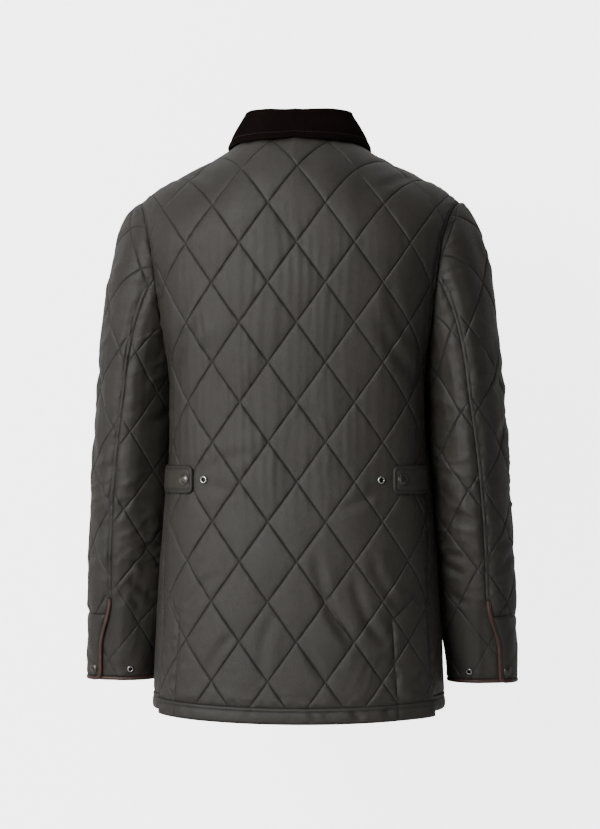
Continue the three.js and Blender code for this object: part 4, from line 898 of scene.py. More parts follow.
def mesh_object(name, points, faces, materials, uv=None, face_slots=None, near=None):
    name = "sewn_" + name
    mesh = bpy.data.meshes.new(name)
    mesh.from_pydata((points * MM).tolist(), [], faces.tolist() if hasattr(faces, "tolist") else faces)
    for material in materials:
        mesh.materials.append(material)
    if uv is not None:
        corners = np.zeros(len(mesh.loops), int)
        mesh.loops.foreach_get("vertex_index", corners)
        mesh.uv_layers.new(name="cloth").data.foreach_set("uv", (uv[corners] * MM).ravel())
    if face_slots is not None:
        mesh.polygons.foreach_set("material_index", face_slots)
    # The stored mask sets the painted shade along stitched lines and edges.
    if near is not None:
        mesh.attributes.new("near_stitch", "FLOAT", "POINT").data.foreach_set("value", near)
    mesh.shade_smooth()
    mesh.set_sharp_from_angle(angle=SHARP_ANGLE)
    mesh.validate()
    piece = bpy.data.objects.new(name, mesh)
    bpy.context.scene.collection.objects.link(piece)
    return piece


def settle(piece, slot, *nodes):
    """Hangs a finished piece on the body and lets it stand for its solids."""
    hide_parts(*nodes)
    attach(piece, "root")


def stitched_runs(edge, sewn, quilt):
    """The runs that a piece is stitched along: its own lines, then the quilting, broken where they cross."""
    marked = sewn_runs(edge, [spaced(line, STEP) for line in sewn])
    quilted = sewn_runs(edge, quilt_lines(edge, quilt) if quilt else [])
    if not (sewn and quilt):
        return marked + quilted
    own = np.concatenate([spaced(line, 1.0) for line in sewn])
    return marked + [part for each in quilted for part in kept_runs(each, far_from(each, own) > CLEAR["sewn"])]


def cloth_piece(name, edge, surface, relief, sewn=(), quilt=None, wall=WALL, fill=FILL, left=False):
    """Cuts, pads, sews and places one piece of cloth, and notes the lines that its stitches follow."""
    edge = inset(edge, -SEAM_ALLOWANCE)
    runs = stitched_runs(edge, sewn, quilt)
    flat, faces, rim = triangulated(edge, runs, fabric_points(edge, runs, fill))
    back_fill = lattice(edge, INNER_FILL)
    back_fill = back_fill[within(back_fill, edge, INNER_FILL * CLEAR["back"])]
    back_flat, back_faces, back_rim = triangulated(edge, [], back_fill)
    rise, near = relief(flat[:, 0], flat[:, 1], to_outline(flat, edge))
    outer = lifted(surface, flat[:, 0], flat[:, 1], rise)
    inner = lifted(surface, back_flat[:, 0], back_flat[:, 1], np.full(len(back_flat), -float(wall)))
    count = len(outer)
    a, b = rim, np.roll(rim, -1)
    c, d = back_rim + count, np.roll(back_rim, -1) + count
    sides = [np.stack([b, a, c], -1), np.stack([b, c, d], -1)]
    every = np.concatenate([faces, *sides, back_faces[:, ::-1] + count])
    slots = np.zeros(len(every), int)
    slots[len(faces) + 2 * len(edge):] = 1
    points, paths = np.concatenate([outer, inner]), []
    for each in runs:
        lift = relief(each[:, 0], each[:, 1], to_outline(each, edge))[0]
        paths.append(lifted(surface, each[:, 0], each[:, 1], lift + THREAD_LIFT))
    if left:
        points, every, paths = on_left(points), every[:, ::-1], [on_left(path) for path in paths]
    uv = np.concatenate([flat, back_flat])
    # near is the mask of the painted shade along stitched lines and edges; the lining side gets none.
    near = np.concatenate([near, np.zeros(len(back_flat))])
    piece = mesh_object(name, points, every, [material("shell"), material("lining")], uv, slots, near)
    STITCH_PATHS[name] = paths
    settle(piece, "shell", name)


# Finishes

MATERIALS = {}


def material(name):
    if name not in MATERIALS:
        MATERIALS[name] = FINISHES[name]()
    return MATERIALS[name]


class Nodes:
    """Places shader nodes in a tree and joins them by the names of their sockets."""

    def __init__(self, tree):
        self.tree = tree

    def add(self, kind, settings=None, **inputs):
        node = self.tree.nodes.new(kind)
        for name, value in (settings or {}).items():
            setattr(node, name, value)
        self.put_all(node, **inputs)
        return node

    def put_all(self, node, **inputs):
        for name, value in inputs.items():
            self.put(node, name.replace("_", " "), value)

    def put(self, node, name, value):
        socket = node.inputs[int(name)] if name.isdigit() else node.inputs[name]
        if isinstance(value, bpy.types.NodeSocket):
            self.tree.links.new(value, socket)
        elif value is not None:
            socket.default_value = value

    def math(self, operation, first, second=0.0, clamped=False):
        node = self.add("ShaderNodeMath", {"operation": operation, "use_clamp": clamped})
        self.put(node, "0", first)
        self.put(node, "1", second)
        return node.outputs[0]

    def ramp(self, value, low, high, start=0.0, end=1.0):
        settings = {"interpolation_type": "SMOOTHSTEP"}
        node = self.add("ShaderNodeMapRange", settings, Value=value, From_Min=low, From_Max=high)
        self.put(node, "To Min", start)
        self.put(node, "To Max", end)
        return node.outputs["Result"]

    def blend(self, share, first, second, way="MIX"):
        node = self.add("ShaderNodeMix", {"data_type": "RGBA", "blend_type": way})
        for socket, value in ((0, share), (6, first), (7, second)):
            self.put(node, str(socket), value)
        return node.outputs[2]

    def noise(self, place, scale, detail=3.0, rough=0.55):
        node = self.add("ShaderNodeTexNoise", Vector=place, Scale=scale, Detail=detail, Roughness=rough)
        return node.outputs["Fac"]


def new_group(name, inputs, outputs):
    """A node group with sockets named in order, each with its kind and, for an input, its default."""
    tree = bpy.data.node_groups.new(name, "ShaderNodeTree")
    for label, kind, default in inputs:
        socket = tree.interface.new_socket(label, in_out="INPUT", socket_type="NodeSocket" + kind)
        socket.default_value = default
    for label, kind in outputs:
        tree.interface.new_socket(label, in_out="OUTPUT", socket_type="NodeSocket" + kind)
    nodes = Nodes(tree)
    return tree, nodes, nodes.add("NodeGroupInput").outputs, nodes.add("NodeGroupOutput")


def group(name, build):
    return bpy.data.node_groups.get(name) or build(name)


def dyed_cloth(name):
    """Uneven colour: broad changes of tone, a fine mottle, and painted shade that darkens the colour by a given
    mask, along stitched lines and seams or in corduroy's grooves.
    """
    inputs = [("Colour", "Color", (0.05, 0.045, 0.04, 1)), ("Dark", "Color", (0.02, 0.02, 0.02, 1)),
              ("Light", "Color", (0.1, 0.1, 0.1, 1)), ("Broad size", "Float", 14.0),
              ("Fine size", "Float", 420.0), ("Stitched", "Float", 0.0), ("Stitch shade", "Float", 0.6)]
    tree, nodes, given, out = new_group(name, inputs, [("Colour", "Color"), ("Roughness", "Float")])
    place = nodes.add("ShaderNodeTexCoord").outputs["Object"]
    broad = nodes.noise(place, given["Broad size"], 4.0)
    fine = nodes.noise(place, given["Fine size"], 2.0)
    middle = nodes.noise(place, 95.0, 3.0)
    shade = nodes.blend(nodes.ramp(broad, 0.35, 0.7, 0.0, 0.6), given["Colour"], given["Light"])
    shade = nodes.blend(nodes.ramp(middle, 0.45, 0.8, 0.0, 0.35), shade, given["Dark"])
    shade = nodes.blend(nodes.ramp(fine, 0.5, 0.85, 0.0, 0.35), shade, given["Light"])
    # Painted shade: the colour is darkened by the given mask, along stitched lines and seams or in the grooves
    # between wales.
    stitched = nodes.math("MULTIPLY", given["Stitched"], given["Stitch shade"])
    shade = nodes.blend(stitched, shade, given["Dark"])
    fine_rough, broad_rough = nodes.ramp(fine, 0.3, 0.8, 0.5, 0.64), nodes.ramp(broad, 0.3, 0.7, -0.04, 0.06)
    rough = nodes.math("ADD", fine_rough, broad_rough)
    nodes.put_all(out, Colour=shade, Roughness=rough)
    return tree


def plain_weave(name):
    """Threads over and under each other, by a map of the flat cloth, with slubs here and there."""
    inputs = [("Threads per metre", "Float", 1900.0), ("Slub", "Float", 0.5)]
    tree, nodes, given, out = new_group(name, inputs, [("Height", "Float")])
    place = nodes.add("ShaderNodeUVMap", {"uv_map": "cloth"}).outputs["UV"]
    axes = nodes.add("ShaderNodeSeparateXYZ", Vector=place).outputs
    turn = nodes.math("MULTIPLY", given["Threads per metre"], math.pi)
    warp = nodes.math("SINE", nodes.math("MULTIPLY", axes["X"], turn))
    weft = nodes.math("SINE", nodes.math("MULTIPLY", axes["Y"], turn))
    crossed = nodes.math("MULTIPLY", warp, weft)
    slub = nodes.add("ShaderNodeTexNoise", {"noise_dimensions": "2D"}, Vector=place, Scale=900.0, Detail=2.0)
    uneven = nodes.math("MULTIPLY", nodes.math("SUBTRACT", slub.outputs["Fac"], 0.5), given["Slub"])
    nodes.put(out, "Height", nodes.math("ADD", nodes.math("MULTIPLY", crossed, 0.3), uneven))
    return tree


def start_material(name):
    made = bpy.data.materials.new(name)
    made.use_nodes = True
    made.node_tree.nodes.clear()
    nodes = Nodes(made.node_tree)
    shader = nodes.add("ShaderNodeBsdfPrincipled")
    end = nodes.add("ShaderNodeOutputMaterial", Surface=shader.outputs[0])
    return made, nodes, shader, end


def placed(nodes, tree, **inputs):
    return nodes.add("ShaderNodeGroup", {"node_tree": tree}, **inputs).outputs


def bumped(nodes, height, strength, distance):
    return nodes.add("ShaderNodeBump", Height=height, Strength=strength, Distance=distance).outputs["Normal"]


def four(colour, factor=1.0):
    return (*(min(1.0, part * factor) for part in colour), 1.0)


def waxed_cotton(name, colour, sheen):
    made, nodes, shader, _ = start_material(name)
    # Painted shade along stitched lines and seams, from the mask that each cloth piece stores.
    near = nodes.add("ShaderNodeAttribute", {"attribute_name": "near_stitch"}).outputs["Fac"]
    tone = placed(nodes, group("Dyed cloth", dyed_cloth), Colour=four(colour), Dark=four(colour, 0.42),
                  Light=four(colour, 1.4), Stitched=near, Stitch_shade=0.8)
    weave = placed(nodes, group("Plain weave", plain_weave), Slub=0.6)
    place = nodes.add("ShaderNodeTexCoord").outputs["Object"]
    crush = nodes.math("MULTIPLY", nodes.noise(place, 260.0, 4.0, 0.6), 1.6)
    height = nodes.math("ADD", weave["Height"], crush)
    flat = nodes.add("ShaderNodeUVMap", {"uv_map": "cloth"}).outputs["UV"]
    drawn = nodes.add("ShaderNodeMapping", Vector=flat, Scale=(1.0, 0.14, 1.0)).outputs["Vector"]
    streaks = nodes.math("MULTIPLY", nodes.noise(drawn, 120.0, 3.0, 0.55), 1.2)
    height = nodes.math("ADD", height, streaks)
    nodes.put_all(shader, Base_Color=tone["Colour"], Roughness=tone["Roughness"], Specular_IOR_Level=0.36,
                  Normal=bumped(nodes, height, 0.6, 0.0003), Sheen_Weight=sheen, Sheen_Roughness=0.45,
                  Sheen_Tint=four(colour, 4.0))
    return made


def shell_cloth():
    return waxed_cotton("Outer cloth", bpy.context.scene.jacket_colours.shell, 0.12)


def lining_cloth():
    return waxed_cotton("Lining cloth", bpy.context.scene.jacket_colours.lining, 0.05)


def corduroy_cloth():
    colour = bpy.context.scene.jacket_colours.corduroy
    made, nodes, shader, _ = start_material("Corduroy")
    wale = nodes.add("ShaderNodeAttribute", {"attribute_name": "wale"}).outputs["Fac"]
    # Painted shade: the grooves between the wales are darkened in the base colour.
    tone = placed(nodes, group("Dyed cloth", dyed_cloth), Colour=four(colour), Dark=four(colour, 0.35),
                  Light=four(colour, 1.7), Stitched=nodes.math("SUBTRACT", 1.0, wale), Stitch_shade=0.75)
    place = nodes.add("ShaderNodeTexCoord").outputs["Object"]
    pile = nodes.noise(place, 1400.0, 3.0, 0.7)
    nodes.put_all(shader, Base_Color=tone["Colour"], Roughness=nodes.ramp(pile, 0.2, 0.8, 0.8, 1.0),
                  Normal=bumped(nodes, pile, 0.6, 0.0004), Specular_IOR_Level=0.08, Sheen_Weight=0.05,
                  Sheen_Roughness=0.35, Sheen_Tint=four(colour, 5.0))
    return made


def binding_leather():
    colour = bpy.context.scene.jacket_colours.leather
    made, nodes, shader, _ = start_material("Binding leather")
    tone = placed(nodes, group("Dyed cloth", dyed_cloth), Colour=four(colour), Dark=four(colour, 0.4),
                  Light=four(colour, 1.9), Broad_size=60.0, Fine_size=900.0)
    place = nodes.add("ShaderNodeTexCoord").outputs["Object"]
    cells = nodes.add("ShaderNodeTexVoronoi", {"feature": "DISTANCE_TO_EDGE"}, Vector=place, Scale=1100.0)
    pores = nodes.ramp(cells.outputs["Distance"], 0.0, 0.25)
    creases = nodes.math("MULTIPLY", nodes.noise(place, 240.0, 4.0, 0.6), 1.4)
    height = nodes.math("ADD", nodes.math("MULTIPLY", pores, 0.6), creases)
    rough = nodes.math("SUBTRACT", tone["Roughness"], 0.08)
    nodes.put_all(shader, Base_Color=tone["Colour"], Roughness=rough, Specular_IOR_Level=0.45,
                  Normal=bumped(nodes, height, 0.5, 0.0003))
    return made


def snap_finish(name, colour, low, high, worn):
    """Pressed metal: dulled in patches, rubbed bright on top, with fine pits, and painted near-black shade in a
    socket's well.
    """
    made, nodes, shader, _ = start_material(name)
    place = nodes.add("ShaderNodeTexCoord").outputs["Object"]
    patches = nodes.noise(place, 380.0, 4.0)
    scuffs = nodes.noise(place, 1500.0, 3.0, 0.7)
    rubbed = nodes.math("MULTIPLY", nodes.ramp(patches, 0.45, 0.7), worn)
    shade = nodes.blend(rubbed, four(colour), four(colour, 1.8))
    scuffed = nodes.blend(nodes.ramp(scuffs, 0.55, 0.8, 0.0, 0.4), shade, four(colour, 0.5))
    # Painted shade: a socket's well is coloured almost black.
    well = nodes.add("ShaderNodeAttribute", {"attribute_name": "well"}).outputs["Fac"]
    nodes.put_all(shader, Base_Color=nodes.blend(well, scuffed, four(colour, 0.04)), Metallic=1.0,
                  Roughness=nodes.ramp(patches, 0.3, 0.7, high, low),
                  Normal=bumped(nodes, scuffs, 0.25, 0.0002))
    return made


def cap_metal():
    return snap_finish("Cap metal", bpy.context.scene.jacket_colours.snap_cap, 0.26, 0.5, 0.7)


def socket_metal():
    return snap_finish("Socket metal", bpy.context.scene.jacket_colours.snap_socket, 0.16, 0.36, 0.4)


def shell_thread():
    return spun_thread("Sewing thread", bpy.context.scene.jacket_colours.thread)


def collar_thread():
    return spun_thread("Collar thread", bpy.context.scene.jacket_colours.corduroy)


def spun_thread(name, colour):
    """Thread with a fine mottle of fibres."""
    made, nodes, shader, _ = start_material(name)
    place = nodes.add("ShaderNodeTexCoord").outputs["Object"]
    fibres = nodes.noise(place, 2600.0, 2.0, 0.7)
    shade = nodes.blend(nodes.ramp(fibres, 0.35, 0.7), four(colour), four(colour, 1.6))
    nodes.put_all(shader, Base_Color=shade, Roughness=nodes.ramp(fibres, 0.3, 0.7, 0.5, 0.75),
                  Normal=bumped(nodes, fibres, 0.4, 0.0001))
    return made


SWEEP_GLOW = 6.4


def sweep_paper():
    """The pale sweep. Seen from behind it is clear, so that other views look through it."""
    made, nodes, shader, end = start_material("Sweep paper")
    colour = bpy.context.scene.jacket_colours.sweep
    place = nodes.add("ShaderNodeTexCoord").outputs["Object"]
    fine = nodes.noise(place, 60.0, 3.0)
    shade = nodes.blend(nodes.ramp(fine, 0.4, 0.6, 0.0, 0.3), four(colour), four(colour, 1.02))
    seen_straight = nodes.add("ShaderNodeLightPath").outputs["Is Camera Ray"]
    nodes.put_all(shader, Base_Color=shade, Roughness=0.9, Specular_IOR_Level=0.1, Emission_Color=four(colour),
                  Emission_Strength=nodes.math("MULTIPLY", seen_straight, SWEEP_GLOW))
    behind = nodes.add("ShaderNodeNewGeometry").outputs["Backfacing"]
    clear = nodes.add("ShaderNodeBsdfTransparent").outputs[0]
    seen = nodes.add("ShaderNodeMixShader")
    for socket, value in (("0", behind), ("1", shader.outputs[0]), ("2", clear)):
        nodes.put(seen, socket, value)
    nodes.put(end, "Surface", seen.outputs[0])
    return made


FINISHES = {
    "shell": shell_cloth,
    "lining": lining_cloth,
    "corduroy": corduroy_cloth,
    "leather": binding_leather,
    "cap": cap_metal,
    "socket": socket_metal,
    "thread": shell_thread,
    "collar thread": collar_thread,
    "sweep": sweep_paper,
}


# Outlines of the cloth pieces, each run so that its inside is on the left

BACK_CORNER = HEM["side"] + HEM["band"]
FRONT_CORNER = HEM["front_side"] + HEM["band"]
RIM_POINTS = 120


def from_front(way, height):
    return way - half_round(height), height


def up_an_edge(edge_at, low, high):
    """A run up an edge, given by how far round it is at each height."""
    return run(lambda t: (edge_at(mix(low, high, t)), mix(low, high, t)))


def hem_run(hem_at, start, end, up=0):
    """A run along a hem, or a distance above it."""
    return run(lambda t: (mix(start, end, t), hem_at(mix(start, end, t)) + up))


def back_outline():
    right = [
        up_an_edge(back_edge, BACK_CORNER, ARMHOLE["bottom"]),
        run(lambda t: armhole(1 - t, True)),
        run(lambda t: shoulder_seam(t, True)),
        run(lambda t: neck_at(1 - t, 0, False)),
    ]
    end = float(back_edge(np.array(BACK_CORNER)))
    hem = hem_run(back_hem, -end, end, HEM["band"])
    return outline(*right, *(flipped(each) for each in reversed(right)), hem)


def front_outline():
    start = float(from_front(side_seam(np.array(FRONT_CORNER)), np.array(FRONT_CORNER))[0])
    whole = float(half_round(np.array(FRONT_CORNER)))
    return outline(
        up_an_edge(lambda height: from_front(side_seam(height), height)[0], ARMHOLE["bottom"], FRONT_CORNER),
        hem_run(lambda u: front_hem(u + whole), start, 0, HEM["band"]),
        straight((0, HEM["front"] + HEM["band"]), (0, FRONT_NECK_HEIGHT)),
        run(lambda t: from_front(*neck_at(2 - t, 0, True))),
        run(lambda t: from_front(*shoulder_seam(1 - t, False))),
        run(lambda t: from_front(*armhole(t, False))),
    )


def hem_band_outline(start, end, hem_at):
    low = hem_run(hem_at, start, end)
    return outline(low, low[[-1]] + [[0, 0], [0, HEM["band"]]], (low + [0, HEM["band"]])[::-1],
                   low[[0]] + [[0, HEM["band"]], [0, 0]])


def sleeve_run(seam, place, low, high):
    return run(lambda t: (place(seam(mix(low, high, t)), mix(low, high, t)), mix(low, high, t)))


def on_seam(place, seam, height):
    """How far along a sleeve piece's flat cloth a seam lies at a height."""
    return float(place(seam(height), np.array(height)))


def cap_rim(place, first, last):
    """A run along the top of a sleeve piece, between two shares of the way round."""
    shares = mix(first, last, np.linspace(0, 1, RIM_POINTS))
    return np.stack([place(shares), CAP["start"] + cap_length(shares)], -1)


def binding_edge():
    """The cuff's edge from the vent's top, down its shaped side, round the corner and along the hem."""
    corner_top = CUFF["height"] + CUFF["corner"]
    side = up_an_edge(vent_edge, CUFF["vent_top"], corner_top)
    centre = side[-1] + [CUFF["corner"], 0]
    turn = np.linspace(0, math.pi / 2, 14)
    corner = centre - CUFF["corner"] * np.stack([np.cos(turn), np.sin(turn)], -1)
    end = on_seam(upper_u, front_seam, CUFF["height"])
    return np.concatenate([side, corner[1:], spaced([corner[-1], (end, CUFF["height"])], STEP)[1:]])


def inside_binding():
    return beside(binding_edge(), BINDING["width"] + GAP / 2)


def upper_outline():
    edge = inside_binding()
    vent = edge[edge[:, 1] > CUFF["seam"]]
    vent = np.concatenate([[[float(vent_edge(np.array(CUFF["vent_top"]))), CUFF["vent_top"] + GAP]], vent])
    start = vent[-1] * [1, 0] + [0, CUFF["seam"]]
    end = on_seam(upper_u, front_seam, CUFF["seam"])
    rim = cap_rim(lambda share: upper_u(share, CAP["start"]), FRONT_TOP[0], REAR_TOP[0])
    return outline(
        straight(start, (end, CUFF["seam"])),
        sleeve_run(front_seam, upper_u, CUFF["seam"], FRONT_TOP[1]),
        rim,
        sleeve_run(rear_seam, upper_u, REAR_TOP[1], CUFF["vent_top"] + GAP),
        vent,
        straight(vent[-1], start) if vent[-1, 1] - CUFF["seam"] > 0.5 else vent[-1:].repeat(2, 0),
    )


def under_outline():
    bottom = CUFF["height"] + BINDING["width"] + GAP / 2
    low_front = on_seam(under_u, front_seam, bottom)
    low_rear = on_seam(under_u, rear_seam, bottom) + CUFF["overlap"]
    seam_rear = on_seam(under_u, rear_seam, CUFF["seam"]) + CUFF["overlap"]
    vent_rear = on_seam(under_u, rear_seam, CUFF["vent_top"])
    rim = cap_rim(lambda share: share * whole_round(CAP["start"]), REAR_TOP[0], FRONT_TOP[0] - 1)
    return outline(
        straight((low_front, bottom), (low_rear, bottom)),
        straight((low_rear, bottom), (seam_rear, CUFF["seam"])),
        straight((seam_rear, CUFF["seam"]), (vent_rear, CUFF["vent_top"])),
        sleeve_run(rear_seam, under_u, CUFF["vent_top"], REAR_TOP[1]),
        rim,
        sleeve_run(front_seam, under_u, FRONT_TOP[1], bottom),
    )


def cuff_band_outline():
    edge = inside_binding()
    edge = edge[edge[:, 1] < CUFF["seam"]]
    edge = np.concatenate([edge[:1] * [1, 0] + [0, CUFF["seam"]], edge])
    bottom = edge[-1, 1]
    return outline(
        edge,
        sleeve_run(front_seam, upper_u, bottom, CUFF["seam"]),
        straight((on_seam(upper_u, front_seam, CUFF["seam"]), CUFF["seam"]), edge[0]),
    )


TAB_SEAM = float(side_seam(np.array(TAB["height"])))


def tab_outline():
    corner, half = TAB["corner"], TAB["width"] / 2
    turn = np.linspace(0, math.pi / 2, 12)
    in_by, down_by = corner * (1 - np.sin(turn)), corner * (1 - np.cos(turn))
    top = np.stack([TAB["end"] + in_by, TAB["height"] + half - down_by], -1)
    low = (top * [1, -1] + [0, 2 * TAB["height"]])[::-1]
    ends = [(TAB_SEAM, TAB["height"] + side * half) for side in (-1, 1)]
    return outline(straight(ends[0], ends[1]), straight(ends[1], top[0]), top, straight(top[-1], low[0]), low,
                   straight(low[-1], ends[0]))


def tab_lift(u):
    return TAB["lift"] * smooth(TAB_SEAM - u, -6, 14) + GAP


def tab_surface(u, v):
    return lifted(back_surface, u, v, tab_lift(u) + TAB["wall"])


def placket_surface(u, v):
    return lifted(whole_front, u, v, PLACKET["lift"] + PLACKET["wall"] + 0 * u)


def front_hem_at(u):
    return front_hem(u + half_round(np.array(HEM["side"])))


def placket_outline():
    half, top = PLACKET["half_width"], FRONT_NECK_HEIGHT - PLACKET["top"]
    low = hem_run(lambda u: front_hem_at(-np.abs(u)), -half, half)
    return outline(low, straight(low[-1], (half, top)), straight((half, top), (-half, top)),
                   straight((-half, top), low[0]))


# How the padding lies, and the folds placed one by one from the photograph's kind

PRESSED = {
    "by_sleeve": {"share": 0.65, "off": 45, "from": 40, "to": 90},
    "under_tab": {"share": 0.6, "beyond": 12, "from": 18, "to": 34},
    "by_socket": {"share": 0.85, "from": 12, "to": 34},
    "by_collar": {"share": 0.5, "from": 55, "to": 95},
    "under_placket": {"share": 0.7, "from": 12, "to": 28},
    "by_front_collar": {"share": 0.6, "from": 75, "to": 20},
    "upper_by_body": {"share": 0.6, "from": 0.78, "to": 0.86},
    "under_by_body": {"share": 0.7, "least": 0.3, "middle": 0.03, "from": 0.1, "to": 0.2},
    "at_cuff": {"from": -42, "to": -22, "above": 30, "fade": 20},
}


def pressed_by_sleeve(way, height):
    """The padding is flatter where a sleeve lies on the body's side."""
    zone = PRESSED["by_sleeve"]
    away = np.abs(np.abs(way) - side_seam(np.minimum(height, ARMHOLE["bottom"])) - zone["off"])
    return 1 - zone["share"] * (1 - smooth(away, zone["from"], zone["to"]))


def back_press(u, v):
    """How full the back's padding is: flatter under the sleeves, tabs and collar, and round the sockets."""
    tab, collar, socket = PRESSED["under_tab"], PRESSED["by_collar"], PRESSED["by_socket"]
    off_tab = smooth(np.abs(v - TAB["height"]), tab["from"], tab["to"])
    on_tab = smooth(np.abs(u), TAB["end"] - tab["beyond"], TAB["end"]) * (1 - off_tab)
    by_collar = smooth(v, collar["from"], collar["to"])
    to_socket = np.hypot(np.abs(u) - TAB_SNAPS["post"], v - TAB["height"])
    by_socket = 1 - smooth(to_socket, socket["from"], socket["to"])
    press = pressed_by_sleeve(u, v) * (1 - tab["share"] * on_tab) * (1 - collar["share"] * by_collar)
    return press * (1 - socket["share"] * by_socket)


def front_press(u, v):
    """How full a front's padding is: flatter under the sleeves, the placket and the collar."""
    placket, collar, half = PRESSED["under_placket"], PRESSED["by_front_collar"], PLACKET["half_width"]
    on_placket = 1 - smooth(np.abs(u), half + placket["from"], half + placket["to"])
    by_collar = smooth(v, FRONT_NECK_HEIGHT - collar["from"], FRONT_NECK_HEIGHT - collar["to"])
    press = pressed_by_sleeve(u + half_round(v), v) * (1 - placket["share"] * on_placket)
    return press * (1 - collar["share"] * by_collar)


def upper_press(u, v):
    """How full an upper sleeve's padding is: flatter in front."""
    zone = PRESSED["upper_by_body"]
    return 1 - zone["share"] * smooth(0.5 + u / whole_round(v), zone["from"], zone["to"])


def under_press(u, v):
    """How full an under sleeve's padding is: flatter below the arm and behind the cuff band."""
    zone, cuff = PRESSED["under_by_body"], PRESSED["at_cuff"]
    away = smooth(np.abs(u / whole_round(v) - zone["middle"]), zone["from"], zone["to"])
    start = under_u(rear_seam(v), v)
    let_in = smooth(u - start, cuff["from"], cuff["to"])
    let_in = let_in * smooth(CUFF["vent_top"] + cuff["above"] - v, 0, cuff["fade"])
    return (zone["least"] + zone["share"] * away) * (1 - let_in)


BODY_SWELL = {"rise": 8.4, "share": 0.01, "full": 0.05, "none": 0.17, "low": (-745, -640), "high": (-325, -285)}


def against_body(u, v):
    """The under sleeve's padding swells until it lies on the body's side."""
    off = np.abs(u / whole_round(v) - BODY_SWELL["share"])
    inner_side = 1 - smooth(off, BODY_SWELL["full"], BODY_SWELL["none"])
    low, high = smooth(v, *BODY_SWELL["low"]), smooth(v, *BODY_SWELL["high"])
    return BODY_SWELL["rise"] * inner_side * low * (1 - high)


CREASE = "u0 v0 u1 v1 width depth"
BACK_CREASES = table(
    CREASE,
    (92, -700, 30, -560, 9, 2.4),
    (128, -690, 82, -590, 8, 2.0),
    (150, -640, 105, -560, 8, 1.6),
    (60, -745, 20, -690, 7, 1.2),
    (-150, -650, -100, -590, 8, 1.5),
    (-118, -735, -75, -670, 8, 1.3),
    (-40, -740, -20, -640, 9, 1.0),
    (176, -330, 120, -250, 11, 2.2),
    (-176, -330, -118, -245, 11, 2.0),
    (168, -290, 130, -190, 10, 1.4),
    (-166, -285, -128, -190, 10, 1.3),
    (30, 70, 70, 10, 8, 1.1),
    (-35, 70, -72, 5, 8, 1.1),
    (160, -20, 112, -70, 9, 1.4),
    (-158, -15, -110, -60, 9, 1.2),
    (118, -478, 60, -505, 8, 1.2),
    (-116, -452, -50, -430, 9, 1.0),
    (-122, -474, -66, -492, 8, 1.1),
)
FRONT_CREASES = table(
    CREASE,
    (-195, -330, -130, -250, 10, 1.8),
    (-150, -160, -100, -230, 9, 1.2),
    (-60, -700, -110, -600, 9, 1.6),
    (-170, -690, -120, -640, 8, 1.3),
    (-48, -150, -90, -110, 8, 1.1),
    (-190, -470, -140, -500, 9, 1.2),
)
RIGHT_UPPER_CREASES = table(
    CREASE,
    (-52, -590, 6, -560, 7, 2.0),
    (-55, -560, -8, -545, 6, 1.7),
    (-50, -420, 10, -380, 10, 1.8),
    (-46, -350, 18, -310, 11, 2.0),
    (-30, -320, 30, -270, 9, 1.3),
    (40, -560, 96, -590, 9, 1.8),
    (30, -470, 90, -500, 10, 1.4),
)
LEFT_UPPER_CREASES = table(
    CREASE,
    (-50, -575, -2, -598, 7, 1.6),
    (-48, -440, 0, -400, 10, 1.4),
    (-46, -345, 14, -300, 11, 1.8),
    (38, -545, 94, -570, 9, 1.7),
    (32, -480, 88, -505, 10, 1.3),
)
RIGHT_UNDER_CREASES = table(
    CREASE,
    (70, -600, 20, -565, 7, 2.2),
    (72, -572, 12, -560, 6, 1.8),
    (60, -380, 10, -350, 9, 1.8),
    (-30, -520, 20, -500, 9, 1.6),
    (68, -640, 40, -622, 6, 1.3),
)
LEFT_UNDER_CREASES = table(
    CREASE,
    (72, -578, 16, -590, 6, 2.3),
    (74, -602, 26, -628, 7, 2.4),
    (70, -555, 22, -560, 6, 1.6),
    (66, -625, 46, -648, 6, 1.5),
    (58, -390, 8, -356, 9, 1.8),
    (-30, -505, 22, -492, 9, 1.6),
)
BACK_BAND_CREASES = table(
    CREASE,
    (-150, -792, -135, -764, 6, 1.2),
    (-60, -790, -48, -768, 7, 0.9),
    (38, -792, 26, -766, 6, 1.1),
    (96, -790, 82, -764, 6, 1.3),
    (128, -788, 138, -764, 7, 1.1),
)
CUFF_BAND_CREASES = table(
    CREASE,
    (-30, -735, 10, -662, 8, 0.9),
    (12, -745, 50, -668, 9, 0.8),
    (55, -735, 84, -672, 8, 0.8),
)


# Sizes and colours that a user may change

def length_property(name, description, default, least, most):
    return FloatProperty(name=name, description=description, default=default, min=least, max=most,
                         subtype="DISTANCE", unit="LENGTH")


class JacketSizes(bpy.types.PropertyGroup):
    quilt_puff: length_property("Quilt puff", "How far the padding rises in each diamond", 0.0023, 0.0, 0.012)
    quilt_roundness: FloatProperty(name="Quilt roundness", description="Less than 1 is a fuller diamond",
                                   default=0.34, min=0.2, max=2.0)
    pucker: length_property("Pucker", "Height of the gathers along the quilting", 0.00045, 0.0, 0.002)
    gather: length_property("Gather", "Height of the small gathers along the seams", 0.0016, 0.0, 0.002)
    stitch_length: length_property("Stitch length", "From one stitch to the next", 0.0038, 0.001, 0.01)
    thread_radius: length_property("Thread radius", "Half the sewing thread's thickness", 0.0003, 0.0001, 0.001)
    wale: length_property("Wale", "Width of one corduroy rib and its groove", 0.0023, 0.001, 0.006)
    wale_height: length_property("Wale height", "Depth of the corduroy's grooves", 0.00055, 0.0, 0.002)
    snap_sides: IntProperty(name="Snap sides", description="Facets round each snap",
                            default=44, min=12, max=96)


def colour_property(name, description, default):
    return FloatVectorProperty(name=name, description=description, subtype="COLOR", size=3, min=0.0, max=1.0,
                               default=default)


